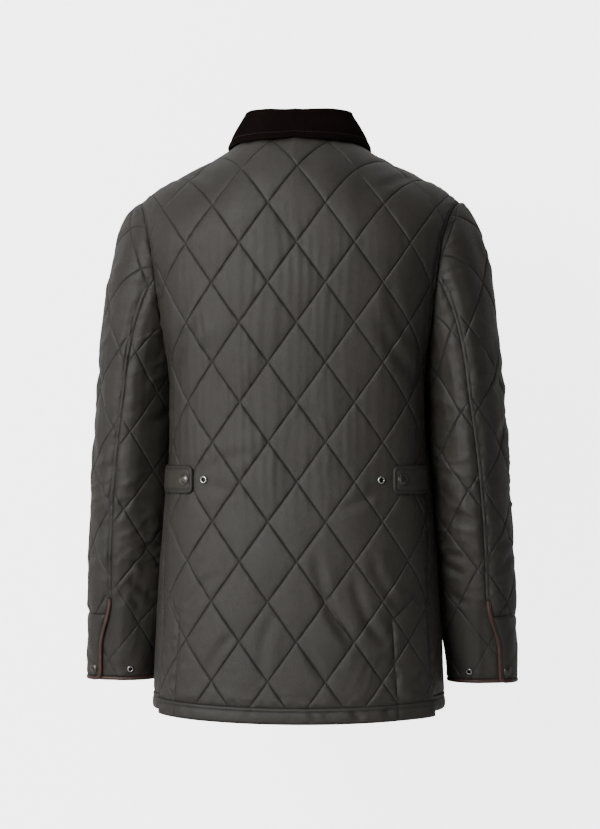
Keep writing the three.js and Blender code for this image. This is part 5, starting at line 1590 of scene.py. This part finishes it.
class JacketColours(bpy.types.PropertyGroup):
    shell: colour_property("Outer cloth", "Waxed cotton of the body and sleeves", (0.0186, 0.0158, 0.0128))
    lining: colour_property("Lining", "Cloth on the inside", (0.02, 0.017, 0.014))
    corduroy: colour_property("Corduroy", "Collar's ribbed pile", (0.003, 0.0009, 0.0006))
    leather: colour_property("Leather", "Binding at the cuffs", (0.03, 0.0125, 0.008))
    snap_cap: colour_property("Snap caps", "Antiqued metal of the caps", (0.085, 0.077, 0.07))
    snap_socket: colour_property("Snap sockets", "Bright metal of the sockets and studs", (0.4, 0.4, 0.39))
    thread: colour_property("Thread", "Sewing thread", (0.016, 0.0142, 0.0128))
    sweep: colour_property("Sweep", "Pale paper behind and below", (0.6, 0.6, 0.6))


# Operators

class StageOperator(bpy.types.Operator):
    """Lays the pale sweep and sets the soft lights and the camera"""
    bl_idname = "jacket.stage"
    bl_label = "Stage, lights and camera"

    def execute(self, context):
        make_sweep()
        make_lights()
        make_camera()
        return {"FINISHED"}


class BackOperator(bpy.types.Operator):
    """Cuts, quilts and hangs the back"""
    bl_idname = "jacket.back"
    bl_label = "Back"

    def execute(self, context):
        sewn = vent_facing_lines() + armhole_stitching()
        relief = quilted_relief(BACK_START, 11, back_press, BACK_CREASES, sewn, folded=back_folds)
        cloth_piece("back", back_outline(), back_surface, relief, sewn, BACK_START)
        return {"FINISHED"}


class FrontsOperator(bpy.types.Operator):
    """Cuts, quilts and hangs both fronts"""
    bl_idname = "jacket.fronts"
    bl_label = "Fronts"

    def execute(self, context):
        for name, seed in (("front_right", 21), ("front_left", 27)):
            relief = quilted_relief(CENTRE_START, seed, front_press, FRONT_CREASES, folded=front_folds)
            cloth_piece(name, front_outline(), front_surface, relief, (), CENTRE_START, fill=5.0,
                        left=name.endswith("left"))
        return {"FINISHED"}


class HemBandsOperator(bpy.types.Operator):
    """Sews the hem bands to the back and the fronts"""
    bl_idname = "jacket.hem_bands"
    bl_label = "Hem bands"

    def execute(self, context):
        end = float(back_edge(np.array(HEM["side"])))
        edge = hem_band_outline(-end, end, back_hem)
        seams = [straight((side * place, HEM["back"]), (side * place, BACK_CORNER + 4))
                 for side, place in ((-1, FACING["left"]), (1, FACING["right"]))]
        top = hem_run(back_hem, -end, end, HEM["band"]) - [0, TOPSTITCH]
        sewn = [top, *seams]
        cloth_piece("hem_band_back", edge, back_surface, band_relief(31, sewn, BACK_BAND_CREASES), sewn)
        start = float(side_seam(np.array(HEM["side"])) - half_round(np.array(HEM["side"])))
        edge = hem_band_outline(start, 0.0, front_hem_at)
        top = hem_run(front_hem_at, start, 0, HEM["band"]) - [0, TOPSTITCH]
        for name, seed in (("hem_band_front_right", 33), ("hem_band_front_left", 37)):
            cloth_piece(name, edge, front_surface, band_relief(seed, [top]), [top],
                        left=name.endswith("left"))
        return {"FINISHED"}


class SleevesOperator(bpy.types.Operator):
    """Cuts, quilts and hangs the two parts of both sleeves"""
    bl_idname = "jacket.sleeves"
    bl_label = "Sleeves"

    def execute(self, context):
        topstitch = sleeve_run(rear_seam, upper_u, CUFF["vent_top"] + 6, REAR_TOP[1] - 3) + [TOPSTITCH, 0]
        for side, seed, upper_creases, under_creases in (
                ("right", 41, RIGHT_UPPER_CREASES, RIGHT_UNDER_CREASES),
                ("left", 47, LEFT_UPPER_CREASES, LEFT_UNDER_CREASES)):
            left = side == "left"
            upper_start = (0, SLEEVE_START[side])
            under_start = (UNDER_SHIFT["across"], SLEEVE_START[side] - UNDER_SHIFT["down"])
            relief = quilted_relief(upper_start, seed, upper_press, upper_creases, [topstitch], waves=1.1,
                                    folded=sleeve_folds(seed + 400))
            cloth_piece("upper_sleeve_" + side, upper_outline(), upper_surface, relief, [topstitch],
                        upper_start, left=left)
            relief = quilted_relief(under_start, seed + 3, under_press, under_creases, waves=0.8,
                                    folded=sleeve_folds(seed + 440), swell_at=against_body)
            cloth_piece("under_sleeve_" + side, under_outline(), under_surface, relief, (), under_start,
                        left=left)
        return {"FINISHED"}


class CuffsOperator(bpy.types.Operator):
    """Makes the cuff bands and wraps their leather bindings"""
    bl_idname = "jacket.cuffs"
    bl_label = "Cuff bands and bindings"

    def execute(self, context):
        for side, seed in (("right", 51), ("left", 57)):
            left = side == "left"
            relief = band_relief(seed, (), CUFF_BAND_CREASES, rise=0.0)
            cloth_piece("cuff_band_" + side, cuff_band_outline(), band_surface, relief, (), fill=3.6, left=left)
            binding("cuff_binding_" + side, binding_edge(), band_surface, seed + 1, left)
            first = on_seam(under_u, front_seam, CUFF["height"]) + GAP / 2
            last = on_seam(under_u, rear_seam, CUFF["height"]) + CUFF["overlap"]
            edge = spaced([(first, CUFF["height"]), (last, CUFF["height"])], STEP)
            binding("under_cuff_binding_" + side, edge, under_surface, seed + 2, left)
        return {"FINISHED"}


class CollarOperator(bpy.types.Operator):
    """Rolls the corduroy fall over its stand"""
    bl_idname = "jacket.collar"
    bl_label = "Collar"

    def execute(self, context):
        collar_piece("collar_stand", stand_sections, 10)
        collar_piece("collar_fall", fall_sections, 26)
        return {"FINISHED"}


class TabsOperator(bpy.types.Operator):
    """Sews the waist tabs into the side seams"""
    bl_idname = "jacket.tabs"
    bl_label = "Waist tabs"

    def execute(self, context):
        edge = tab_outline()
        rim = inset(edge, TOPSTITCH * 0.8)
        sewn = [rim[rim[:, 0] < TAB_SEAM - 6]]
        start = int(np.argmax(np.linalg.norm(np.diff(sewn[0], axis=0), axis=1))) + 1
        sewn = [np.roll(sewn[0], -start, axis=0)] if np.linalg.norm(sewn[0][0] - sewn[0][-1]) < 12 else sewn
        for side, seed in (("right", 61), ("left", 67)):
            relief = plain_relief(seed, 0.8, sewn, 0.3)
            cloth_piece("tab_" + side, edge, tab_surface, relief, sewn, wall=TAB["wall"], fill=3.0,
                        left=side == "left")
        return {"FINISHED"}


class PlacketOperator(bpy.types.Operator):
    """Sews the front placket"""
    bl_idname = "jacket.placket"
    bl_label = "Front placket"

    def execute(self, context):
        half, top = PLACKET["half_width"] - TOPSTITCH, FRONT_NECK_HEIGHT - PLACKET["top"]
        sewn = [straight((side * half, HEM["front"] + 4), (side * half, top - 2)) for side in (-1, 1)]
        relief = plain_relief(71, 0.9, sewn, 0.6)
        cloth_piece("front_placket", placket_outline(), placket_surface, relief, sewn, wall=PLACKET["wall"])
        return {"FINISHED"}


class SnapsOperator(bpy.types.Operator):
    """Presses the snaps into tabs, cuffs and placket"""
    bl_idname = "jacket.snaps"
    bl_label = "Snaps"

    def execute(self, context):
        on_tab, on_back = (TAB_SNAPS["cap"], TAB["height"]), (TAB_SNAPS["post"], TAB["height"])
        on_band, on_under = cuff_place(upper_u, "cap"), cuff_place(under_u, "post")
        tab_cap_lift = tab_lift(TAB_SNAPS["cap"]) + TAB["wall"] + GAP
        pairs = [
            ("tab_cap", "cap", SNAP["cap"], back_surface, on_tab, tab_cap_lift),
            ("tab_socket", "socket", SNAP["post"], back_surface, on_back, SNAP["over_puff"]),
            ("cuff_cap", "cap", SNAP["cuff_cap"], band_surface, on_band, GAP),
            ("cuff_stud", "socket", SNAP["cuff_post"], under_surface, on_under, SNAP["over_cuff"]),
        ]
        for name, kind, radius, surface, place, lift in pairs:
            for side in ("right", "left"):
                snap(name + "_" + side, kind, radius, surface, place, lift, side == "left")
        highest, lowest = FRONT_NECK_HEIGHT - PLACKET["first"], HEM["front"] + PLACKET["last"]
        lift = PLACKET["lift"] + PLACKET["wall"] + GAP
        for i, v in enumerate(np.linspace(highest, lowest, PLACKET["snaps"])):
            snap(f"front_cap_{i + 1}", "cap", SNAP["cap"], whole_front, (0.0, v), lift, False)
        return {"FINISHED"}


class StitchesOperator(bpy.types.Operator):
    """Sews stitches along every noted line"""
    bl_idname = "jacket.stitches"
    bl_label = "Stitches"

    def execute(self, context):
        tree = stitch_tree()
        for name, paths in STITCH_PATHS.items():
            if paths:
                sew("stitches_" + name, paths, tree)
        return {"FINISHED"}


class JacketPanel(bpy.types.Panel):
    """Lists the jacket's pieces and what can be changed"""
    bl_idname = "VIEW3D_PT_jacket"
    bl_label = "Quilted jacket"
    bl_space_type = "VIEW_3D"
    bl_region_type = "UI"
    bl_category = "Jacket"

    def draw(self, context):
        for settings in (context.scene.jacket_sizes, context.scene.jacket_colours):
            for name in settings.bl_rna.properties.keys():
                if name not in ("rna_type", "name"):
                    self.layout.prop(settings, name)
        for step in STEPS_IN_ORDER:
            self.layout.operator(step.bl_idname)


# Sewn lines of the vent facings

TOPSTITCH = 5.0
ARMHOLE_STITCH = 9.0
FACING = {"left": 168.0, "right": 146.0}
FACING_TOP = {"left": (183.0, -623), "right": (172.0, -625)}
FACING_TURN = -655
FACING_STEP = 10
SHORT_OF_SEAM = 4


def vent_facing_lines():
    """Each facing's slanted top and its long side, down to the hem band."""
    lines = []
    for name, side in (("left", -1), ("right", 1)):
        out, top = FACING_TOP[name]
        inner = FACING[name] - FACING_STEP
        lines.append(straight((side * out, top), (side * inner, FACING_TURN)))
        lines.append(straight((side * (inner + 1), FACING_TURN - 1), (side * (inner + 3), FACING_TURN - 25),
                              (side * FACING[name], BACK_CORNER - 12)))
    return lines


def armhole_stitching():
    """The stitching on the body's side of each armhole, short of the seams at its ends."""
    right = beside(run(lambda t: armhole(1 - t, True)), ARMHOLE_STITCH)[SHORT_OF_SEAM:-SHORT_OF_SEAM]
    return [right, flipped(right)]


TROUGH = {"spacing": 46, "reach": 30, "width": 3.2, "depth": 0.35}


def band_relief(seed, sewn, creases=None, rise=1.0):
    """A band padded thinly under faint slanting troughs."""
    plain = plain_relief(seed, 0.7, sewn, 0.5, 6.0, creases)

    def relief(u, v, to_edge):
        height, near = plain(u, v, to_edge)
        across = [(u + way * v) / TROUGH["spacing"] for way in (-1, 1)]
        gaps = [np.abs(each - np.round(each)) * TROUGH["reach"] for each in across]
        troughs = sum(np.exp(-((gap / TROUGH["width"]) ** 2)) for gap in gaps)
        return height + rise - TROUGH["depth"] * smooth(to_edge, 1, 8) * troughs, near

    return relief


# Bindings

BINDING_STEP = 1.6
BINDING_STITCH = 4.75
BINDING_SECTION = table(
    "order across height",
    (0, 0.25, -2.75), (1, 0.05, -1.6), (2, 0.1, -0.5), (3, 0.55, 0.35), (4, 1.5, 0.85), (5, 2.8, 0.95),
    (6, 4.0, 0.75), (7, 4.75, 0.1), (8, 5.2, 0.55), (9, 5.45, 0.3), (10, 5.5, -0.6), (11, 5.45, -2.6),
)


def swept_faces(rows, columns):
    """Quads round a closed section (columns) along a path (rows), with both ends closed."""
    i, j = (each.ravel() for each in np.meshgrid(np.arange(rows - 1), np.arange(columns), indexing="ij"))
    after = (j + 1) % columns
    corners = [i * columns + j, (i + 1) * columns + j, (i + 1) * columns + after, i * columns + after]
    sides = np.stack(corners, -1).tolist()
    return sides + [list(range(columns)), list(range((rows - 1) * columns, rows * columns))[::-1]]


def outward(piece):
    """Turns a closed piece's faces outwards where its volume comes out below 0."""
    work = bmesh.new()
    work.from_mesh(piece.data)
    bmesh.ops.recalc_face_normals(work, faces=work.faces)
    if work.calc_volume(signed=True) < 0:
        bmesh.ops.reverse_faces(work, faces=work.faces)
    work.to_mesh(piece.data)
    work.free()


def binding(name, edge, surface, seed, left):
    """Sweeps a rounded leather strip along a run, with small gathers, and notes its stitched line."""
    path = spaced(edge, BINDING_STEP)
    along = run_lengths(path[:, 0], path[:, 1])
    across, height = BINDING_SECTION["across"], BINDING_SECTION["height"]
    grid, lifts = [], []
    for by, high in zip(across, height):
        gather = 0.16 * noise(along / 2.6, by / 3 + 0 * along, seed)
        gather = gather + 0.2 * noise(along / 11, by / 6 + 0 * along, seed + 9)
        grid.append(beside(path, by))
        lifts.append(high + (gather if high > -1 else 0) + 0 * along)
    grid, lifts = np.stack(grid, 1), np.stack(lifts, 1)
    points = lifted(surface, grid[..., 0].ravel(), grid[..., 1].ravel(), lifts.ravel())
    if left:
        points = on_left(points)
    faces = swept_faces(len(path), len(across))
    piece = mesh_object(name, points, faces, [material("leather")])
    outward(piece)
    settle(piece, "binding", name)
    stitched = lifted(surface, *beside(path, BINDING_STITCH).T, 0.2 + 0 * along)
    STITCH_PATHS[name] = [on_left(stitched) if left else stitched]


# The collar

def neckline(share, reach):
    """Way and height of the neckline, from the centre back (0) to either end at the front (2 or -2)."""
    size = np.abs(share)
    back, front = neck_at(np.minimum(size, 1), reach, False), neck_at(np.maximum(size, 1), reach, True)
    return [np.where(size > 1, *pair) for pair in zip(front, back)]


def neck_point(share, reach, lift=0.0):
    points = lifted(torso_point, *neckline(share, reach), lift + 0 * share)
    return points * np.stack([np.where(share < 0, -1, 1), np.ones_like(share), np.ones_like(share)], -1)


def stand_frame(share):
    step = 0.02
    foot = neck_point(share, 0 * share)
    ahead, behind = (neck_point(np.clip(share + by, -2, 2), 0 * share) for by in (step, -step))
    out = -unit(np.cross(ahead - behind, np.array([0, 0, -1.0])))
    up = unit(np.array([0, 0, 1.0]) - out * COLLAR["lean"])
    return foot, out, up


def stand_height(share):
    return COLLAR["stand"] + COLLAR["side_rise"] * np.sin(np.abs(share) * math.pi / 2)


def stand_sections(share, rows):
    """The stand's outer and inner faces, from the foot up."""
    foot, out, up = stand_frame(share)
    low = neck_point(share, 0 * share - COLLAR["inset"])
    normal = unit(neck_point(share, 0 * share - COLLAR["inset"], 1.0) - low)
    low_back = low - normal * COLLAR["stand_wall"]
    outer, inner = [low], [low_back]
    for t in np.linspace(0.2, 1, rows - 1):
        rise = up * (t * stand_height(share))[:, None]
        outer.append(foot + rise - out * COLLAR["inset"])
        inner.append(foot + rise - out * (COLLAR["inset"] + COLLAR["stand_wall"]))
    return np.stack(outer, 1), np.stack(inner, 1)


def through(points, count):
    """Each row of points again on a smooth curve, count of them, evenly by their order."""
    last = points.shape[1] - 1
    at = np.linspace(0, last, count)
    i = np.minimum(at.astype(int), last - 1)
    t = (at - i)[None, :, None]
    before, after = points[:, np.maximum(i - 1, 0)], points[:, np.minimum(i + 2, last)]
    start, end = points[:, i], points[:, i + 1]
    return hermite(start, end, (end - before) / 2, (after - start) / 2, t)


def fall_sections(share, rows):
    """The fall's outer and inner faces, from its lower edge up and over the roll."""
    foot, out, up = stand_frame(share)
    reach = read(FALL, "reach", np.abs(share) / 2)
    over = [foot + out * (o - COLLAR["inset"]) + up * (stand_height(share) + h)[:, None] for o, h in FALL_ROLL]
    over_placket = COLLAR["over_placket"] * smooth(np.abs(share), 1.5, 1.85)
    end = neck_point(share, reach, COLLAR["lift"] + over_placket)
    leaf = [mix(over[-1], end, t) + out * COLLAR["bulge"] * math.sin(math.pi * t) for t in (0.25, 0.5, 0.75, 1)]
    outer = through(np.stack([*over, *leaf], 1), rows)[:, ::-1]
    along = unit(np.gradient(outer, axis=1))
    side = unit(np.cross(np.array([0, 0, 1.0]), out))[:, None]
    normal = unit(np.cross(side, along))
    normal = np.where((normal * out[:, None]).sum(-1)[:, :1, None] < 0, -normal, normal)
    return outer, outer - normal * COLLAR["fall_wall"]


def joined_faces(columns, rows):
    """Quads over an outer grid and an inner one behind it, joined all round their rim."""
    count = columns * rows
    i, j = (each.ravel() for each in np.meshgrid(np.arange(columns - 1), np.arange(rows - 1), indexing="ij"))
    corner = i * rows + j
    front = np.stack([corner, corner + rows, corner + rows + 1, corner + 1], -1)
    loop = [*((a, 0) for a in range(columns)), *((columns - 1, b) for b in range(1, rows)),
            *((a, rows - 1) for a in range(columns - 2, -1, -1)), *((0, b) for b in range(rows - 2, 0, -1))]
    ids = [a * rows + b for a, b in loop]
    rim = [[second, first, first + count, second + count] for first, second in zip(ids, ids[1:] + ids[:1])]
    return [*front.tolist(), *(front[:, ::-1] + count).tolist(), *rim]


def to_end(count):
    """For each of some places in a row, how many there are to the nearer end."""
    return np.minimum(np.arange(count), np.arange(count)[::-1])


WALE_COLUMNS = 4
COLLAR_STITCH_ROW = 3
COLLAR_ROUNDING = 0.7


def collar_piece(name, sections, rows):
    """Ribs a collar part with even wales, rounds its edges and closes it."""
    sizes = bpy.context.scene.jacket_sizes
    last = 2 - COLLAR["front_gap"]
    tried = np.linspace(-last, last, 401)
    edge = sections(tried, rows)[0][:, 1 if name == "collar_fall" else -2]
    length = np.concatenate([[0], np.cumsum(np.linalg.norm(np.diff(edge, axis=0), axis=1))])
    wales = round(length[-1] / (sizes.wale / MM))
    columns = wales * WALE_COLUMNS + 1
    share = np.interp(np.linspace(0, length[-1], columns), length, tried)
    outer, inner = sections(share, rows)
    faces_out = unit(outer - inner)
    rib = np.cos(np.linspace(0, wales * 2 * math.pi, columns))
    ridge = (0.5 - 0.5 * rib) ** 0.7
    ends, rim_rows = to_end(columns) / WALE_COLUMNS, to_end(rows) / 1.5
    rounding = -COLLAR_ROUNDING * (1 - np.minimum(np.minimum(ends[:, None], rim_rows[None, :]), 1)) ** 2
    wander = 0.35 * noise(share[:, None] * 6 + 20, np.arange(rows)[None, :] / 4, 81)
    lift = ridge[:, None] * sizes.wale_height / MM * (rounding > -0.3) + rounding + wander
    if name == "collar_fall":
        lift[:, COLLAR_STITCH_ROW] -= 0.5
    raised = outer + faces_out * lift[..., None]
    sunk = inner + faces_out * (-rounding * 0.8 - 0.5 * ridge[:, None] * sizes.wale_height / MM)[..., None]
    points = np.concatenate([raised.reshape(-1, 3), sunk.reshape(-1, 3)])
    piece = mesh_object(name, points, joined_faces(columns, rows), [material("corduroy")])
    wale = np.concatenate([np.repeat(ridge, rows)] * 2)
    piece.data.attributes.new("wale", "FLOAT", "POINT").data.foreach_set("value", wale)
    outward(piece)
    settle(piece, "corduroy", name)
    if name == "collar_fall":
        at = (slice(None, None, WALE_COLUMNS), COLLAR_STITCH_ROW)
        STITCH_PATHS[name] = [raised[at] + faces_out[at] * 0.3]


# Snaps

CAP_PROFILE = table(
    "order share height",
    (0, 1.0, 0.0), (1, 1.04, 0.2), (2, 1.05, 0.42), (3, 1.0, 0.55), (4, 0.92, 0.6), (5, 0.86, 0.56),
    (6, 0.82, 0.5), (7, 0.78, 0.56), (8, 0.7, 0.74), (9, 0.55, 0.9), (10, 0.36, 0.97), (11, 0.16, 1.0),
)
SOCKET_PROFILE = table(
    "order share height",
    (0, 1.0, 0.0), (1, 1.06, 0.2), (2, 1.04, 0.5), (3, 0.96, 0.74), (4, 0.88, 0.92), (5, 0.78, 1.0),
    (6, 0.66, 0.98), (7, 0.56, 0.8), (8, 0.5, 0.3), (9, 0.42, 0.08), (10, 0.24, 0.08), (11, 0.1, 0.3),
)
# Sockets are painted almost black, as shade, inside this share of their radius.
PAINTED_WELL_SHARE = 0.6


def cuff_place(place, which):
    height = CUFF["height"] + CUFF_SNAPS["rise"]
    return on_seam(place, rear_seam, height) + CUFF_SNAPS[which], height


def snap(name, kind, radius, surface, place, lift, left):
    """Turns a snap from its profile and presses it in, facing out."""
    sides = bpy.context.scene.jacket_sizes.snap_sides
    profile = CAP_PROFILE if kind == "cap" else SOCKET_PROFILE
    tall = SNAP["cap_height"] if kind == "cap" else SNAP["post_height"]
    at = [np.array([float(part)]) for part in place]
    out = normals(surface, *at)[0]
    across = unit(np.cross(np.array([0, 0, 1.0]), out))
    up = np.cross(out, across)
    centre = surface(*at)[0] + out * lift
    turn = np.linspace(0, 2 * math.pi, sides, endpoint=False)
    circle = across * np.cos(turn)[:, None] + up * np.sin(turn)[:, None]
    rings = [centre + circle * share * radius + out * height * tall
             for share, height in zip(profile["share"], profile["height"])]
    points = np.concatenate(rings)
    if left:
        points = on_left(points)
    piece = mesh_object(name, points, swept_faces(len(rings), sides), [material(kind)])
    # The socket's well is marked for its painted near-black shade.
    inside = (profile["share"] < PAINTED_WELL_SHARE) if kind == "socket" else np.zeros(len(profile["share"]), bool)
    well = piece.data.attributes.new("well", "FLOAT", "POINT")
    well.data.foreach_set("value", np.repeat(inside, sides).astype(float))
    outward(piece)
    settle(piece, "snap_metal", name)


# Stitches: one tree sews them all

THREAD_SIDES = 5


def stitch_tree():
    """Short rods laid end to end along curves, each turned along its curve."""
    tree = bpy.data.node_groups.new("Stitches", "GeometryNodeTree")
    for label, kind, default in (("Curves", "Geometry", None), ("Stitch length", "Float", 0.0038),
                                 ("Thread radius", "Float", 0.0003), ("Gap share", "Float", 0.22),
                                 ("Thread", "Material", None)):
        socket = tree.interface.new_socket(label, in_out="INPUT", socket_type="NodeSocket" + kind)
        if default is not None:
            socket.default_value = default
    tree.interface.new_socket("Stitches", in_out="OUTPUT", socket_type="NodeSocketGeometry")
    nodes = Nodes(tree)
    given, out = nodes.add("NodeGroupInput").outputs, nodes.add("NodeGroupOutput")
    spacing = nodes.add("GeometryNodeResampleCurve", {"mode": "LENGTH"}, Curve=given["Curves"])
    nodes.put(spacing, "Length", given["Stitch length"])
    share = nodes.math("SUBTRACT", 1.0, given["Gap share"])
    depth = nodes.math("MULTIPLY", given["Stitch length"], share)
    rod = nodes.add("GeometryNodeMeshCylinder", {"fill_type": "NGON"}, Vertices=THREAD_SIDES, Depth=depth)
    nodes.put(rod, "Radius", given["Thread radius"])
    turned = nodes.add("FunctionNodeAlignRotationToVector", {"axis": "Z"},
                       Vector=nodes.add("GeometryNodeInputTangent").outputs[0])
    placed_rods = nodes.add("GeometryNodeInstanceOnPoints", Points=spacing.outputs[0],
                            Instance=rod.outputs["Mesh"], Rotation=turned.outputs[0])
    real = nodes.add("GeometryNodeRealizeInstances", Geometry=placed_rods.outputs[0])
    finish = nodes.add("GeometryNodeSetMaterial", Geometry=real.outputs[0], Material=given["Thread"])
    nodes.put(out, "Stitches", finish.outputs[0])
    return tree


def sew(name, paths, tree):
    """Follows the noted lines with stitches and keeps the plain mesh."""
    sizes = bpy.context.scene.jacket_sizes
    curves = bpy.data.curves.new(name, "CURVE")
    curves.dimensions = "3D"
    for path in paths:
        spline = curves.splines.new("POLY")
        spline.points.add(len(path) - 1)
        spline.points.foreach_set("co", np.concatenate([path * MM, np.ones((len(path), 1))], 1).ravel())
    guide = bpy.data.objects.new(name + "_lines", curves)
    bpy.context.scene.collection.objects.link(guide)
    modifier = guide.modifiers.new("Stitches", "NODES")
    modifier.node_group = tree
    sockets = {item.name: item.identifier for item in tree.interface.items_tree if item.in_out == "INPUT"}
    for label, value in (("Stitch length", sizes.stitch_length), ("Thread radius", sizes.thread_radius),
                         ("Thread", material("collar thread" if "collar" in name else "thread"))):
        modifier[sockets[label]] = value
    graph = bpy.context.evaluated_depsgraph_get()
    sewn = guide.evaluated_get(graph)
    mesh = bpy.data.meshes.new_from_object(sewn, preserve_all_data_layers=True, depsgraph=graph)
    mesh.name = name
    guide.modifiers.remove(modifier)
    bpy.data.objects.remove(guide)
    if not mesh.polygons:
        raise RuntimeError("no stitches on " + name)
    piece = bpy.data.objects.new(name, mesh)
    bpy.context.scene.collection.objects.link(piece)
    mesh.shade_smooth()
    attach(piece, "root")


# Stage, lights and camera

AIM = Vector((0.0014, 0.0, -0.378))
CAMERA = {"turn": math.radians(4.5), "distance": 3.5, "lens": 151.08, "sensor": 36.0}


SWEEP = {"front": -4.0, "floor": -1.25, "bend": 0.1, "round": 0.45, "top": 2.2, "half_width": 3.5}


def make_sweep():
    """A floor below the jacket that curves up behind it."""
    bend, radius, centre = SWEEP["bend"], SWEEP["round"], SWEEP["floor"] + SWEEP["round"]
    profile = [(SWEEP["front"], SWEEP["floor"]), (bend, SWEEP["floor"])]
    for angle in np.linspace(0.1, math.pi / 2, 14):
        profile.append((bend + radius * math.sin(angle), centre - radius * math.cos(angle)))
    profile += [(bend + radius, SWEEP["top"])]
    half = SWEEP["half_width"]
    points = np.array([(x, y, z) for x in (-half, half) for y, z in profile]) / MM
    count = len(profile)
    faces = np.array([(i + count, i, i + 1, i + 1 + count) for i in range(count - 1)])
    sweep = mesh_object("sweep", points, faces[:, ::-1], [material("sweep")])


def add_light(name, place, aim, size, power):
    light = bpy.data.lights.new(name, "AREA")
    light.shape = "RECTANGLE"
    light.size, light.size_y = size
    light.energy = power
    lamp = bpy.data.objects.new(name, light)
    lamp.location = place
    lamp.rotation_euler = (Vector(aim) - Vector(place)).to_track_quat("-Z", "Y").to_euler()
    bpy.context.scene.collection.objects.link(lamp)


WORLD_LIGHT = 0.12
WORLD_SEEN = 2.6


def make_lights():
    """A broad key from the upper left of the back, weaker lights on three sides, and a pale world."""
    add_light("key", (-1.9, -3.5, 0.9), (0, 0, -0.4), (2.4, 2.4), 262)
    add_light("side", (-3.4, -0.8, 0.2), (0, 0, -0.45), (1.2, 2.2), 16)
    add_light("top", (-0.3, -0.5, 2.4), (0, 0, -0.4), (2.0, 1.4), 22)
    add_light("front", (-1.2, 3.4, 0.7), (0, 0, -0.4), (2.2, 2.2), 140)
    world = bpy.data.worlds.new("Pale studio")
    world.use_nodes = True
    nodes = Nodes(world.node_tree)
    background = world.node_tree.nodes["Background"]
    nodes.put(background, "Color", (0.95, 0.95, 0.95, 1))
    seen_straight = nodes.add("ShaderNodeLightPath").outputs["Is Camera Ray"]
    nodes.put(background, "Strength", nodes.ramp(seen_straight, 0.0, 1.0, WORLD_LIGHT, WORLD_SEEN))
    bpy.context.scene.world = world


def make_camera():
    data = bpy.data.cameras.new("camera")
    data.sensor_fit = "HORIZONTAL"
    data.sensor_width = CAMERA["sensor"]
    data.lens = CAMERA["lens"]
    camera = bpy.data.objects.new("camera", data)
    away = Vector((math.sin(CAMERA["turn"]), -math.cos(CAMERA["turn"]), 0))
    camera.location = AIM + away * CAMERA["distance"]
    camera.rotation_euler = (-away).to_track_quat("-Z", "Y").to_euler()
    bpy.context.scene.collection.objects.link(camera)
    bpy.context.scene.camera = camera


# Registering and running

STEPS_IN_ORDER = (StageOperator, BackOperator, FrontsOperator, HemBandsOperator, SleevesOperator, CuffsOperator,
                  CollarOperator, TabsOperator, PlacketOperator, SnapsOperator, StitchesOperator)
CLASSES = (JacketSizes, JacketColours, *STEPS_IN_ORDER, JacketPanel)


def register():
    for each in CLASSES:
        bpy.utils.register_class(each)
    bpy.types.Scene.jacket_sizes = PointerProperty(type=JacketSizes)
    bpy.types.Scene.jacket_colours = PointerProperty(type=JacketColours)


def unregister():
    del bpy.types.Scene.jacket_colours
    del bpy.types.Scene.jacket_sizes
    for each in reversed(CLASSES):
        bpy.utils.unregister_class(each)


def main():
    register()
    for step in STEPS_IN_ORDER:
        area, name = step.bl_idname.split(".")
        getattr(getattr(bpy.ops, area), name)()


if __name__ == "__main__":
    main()
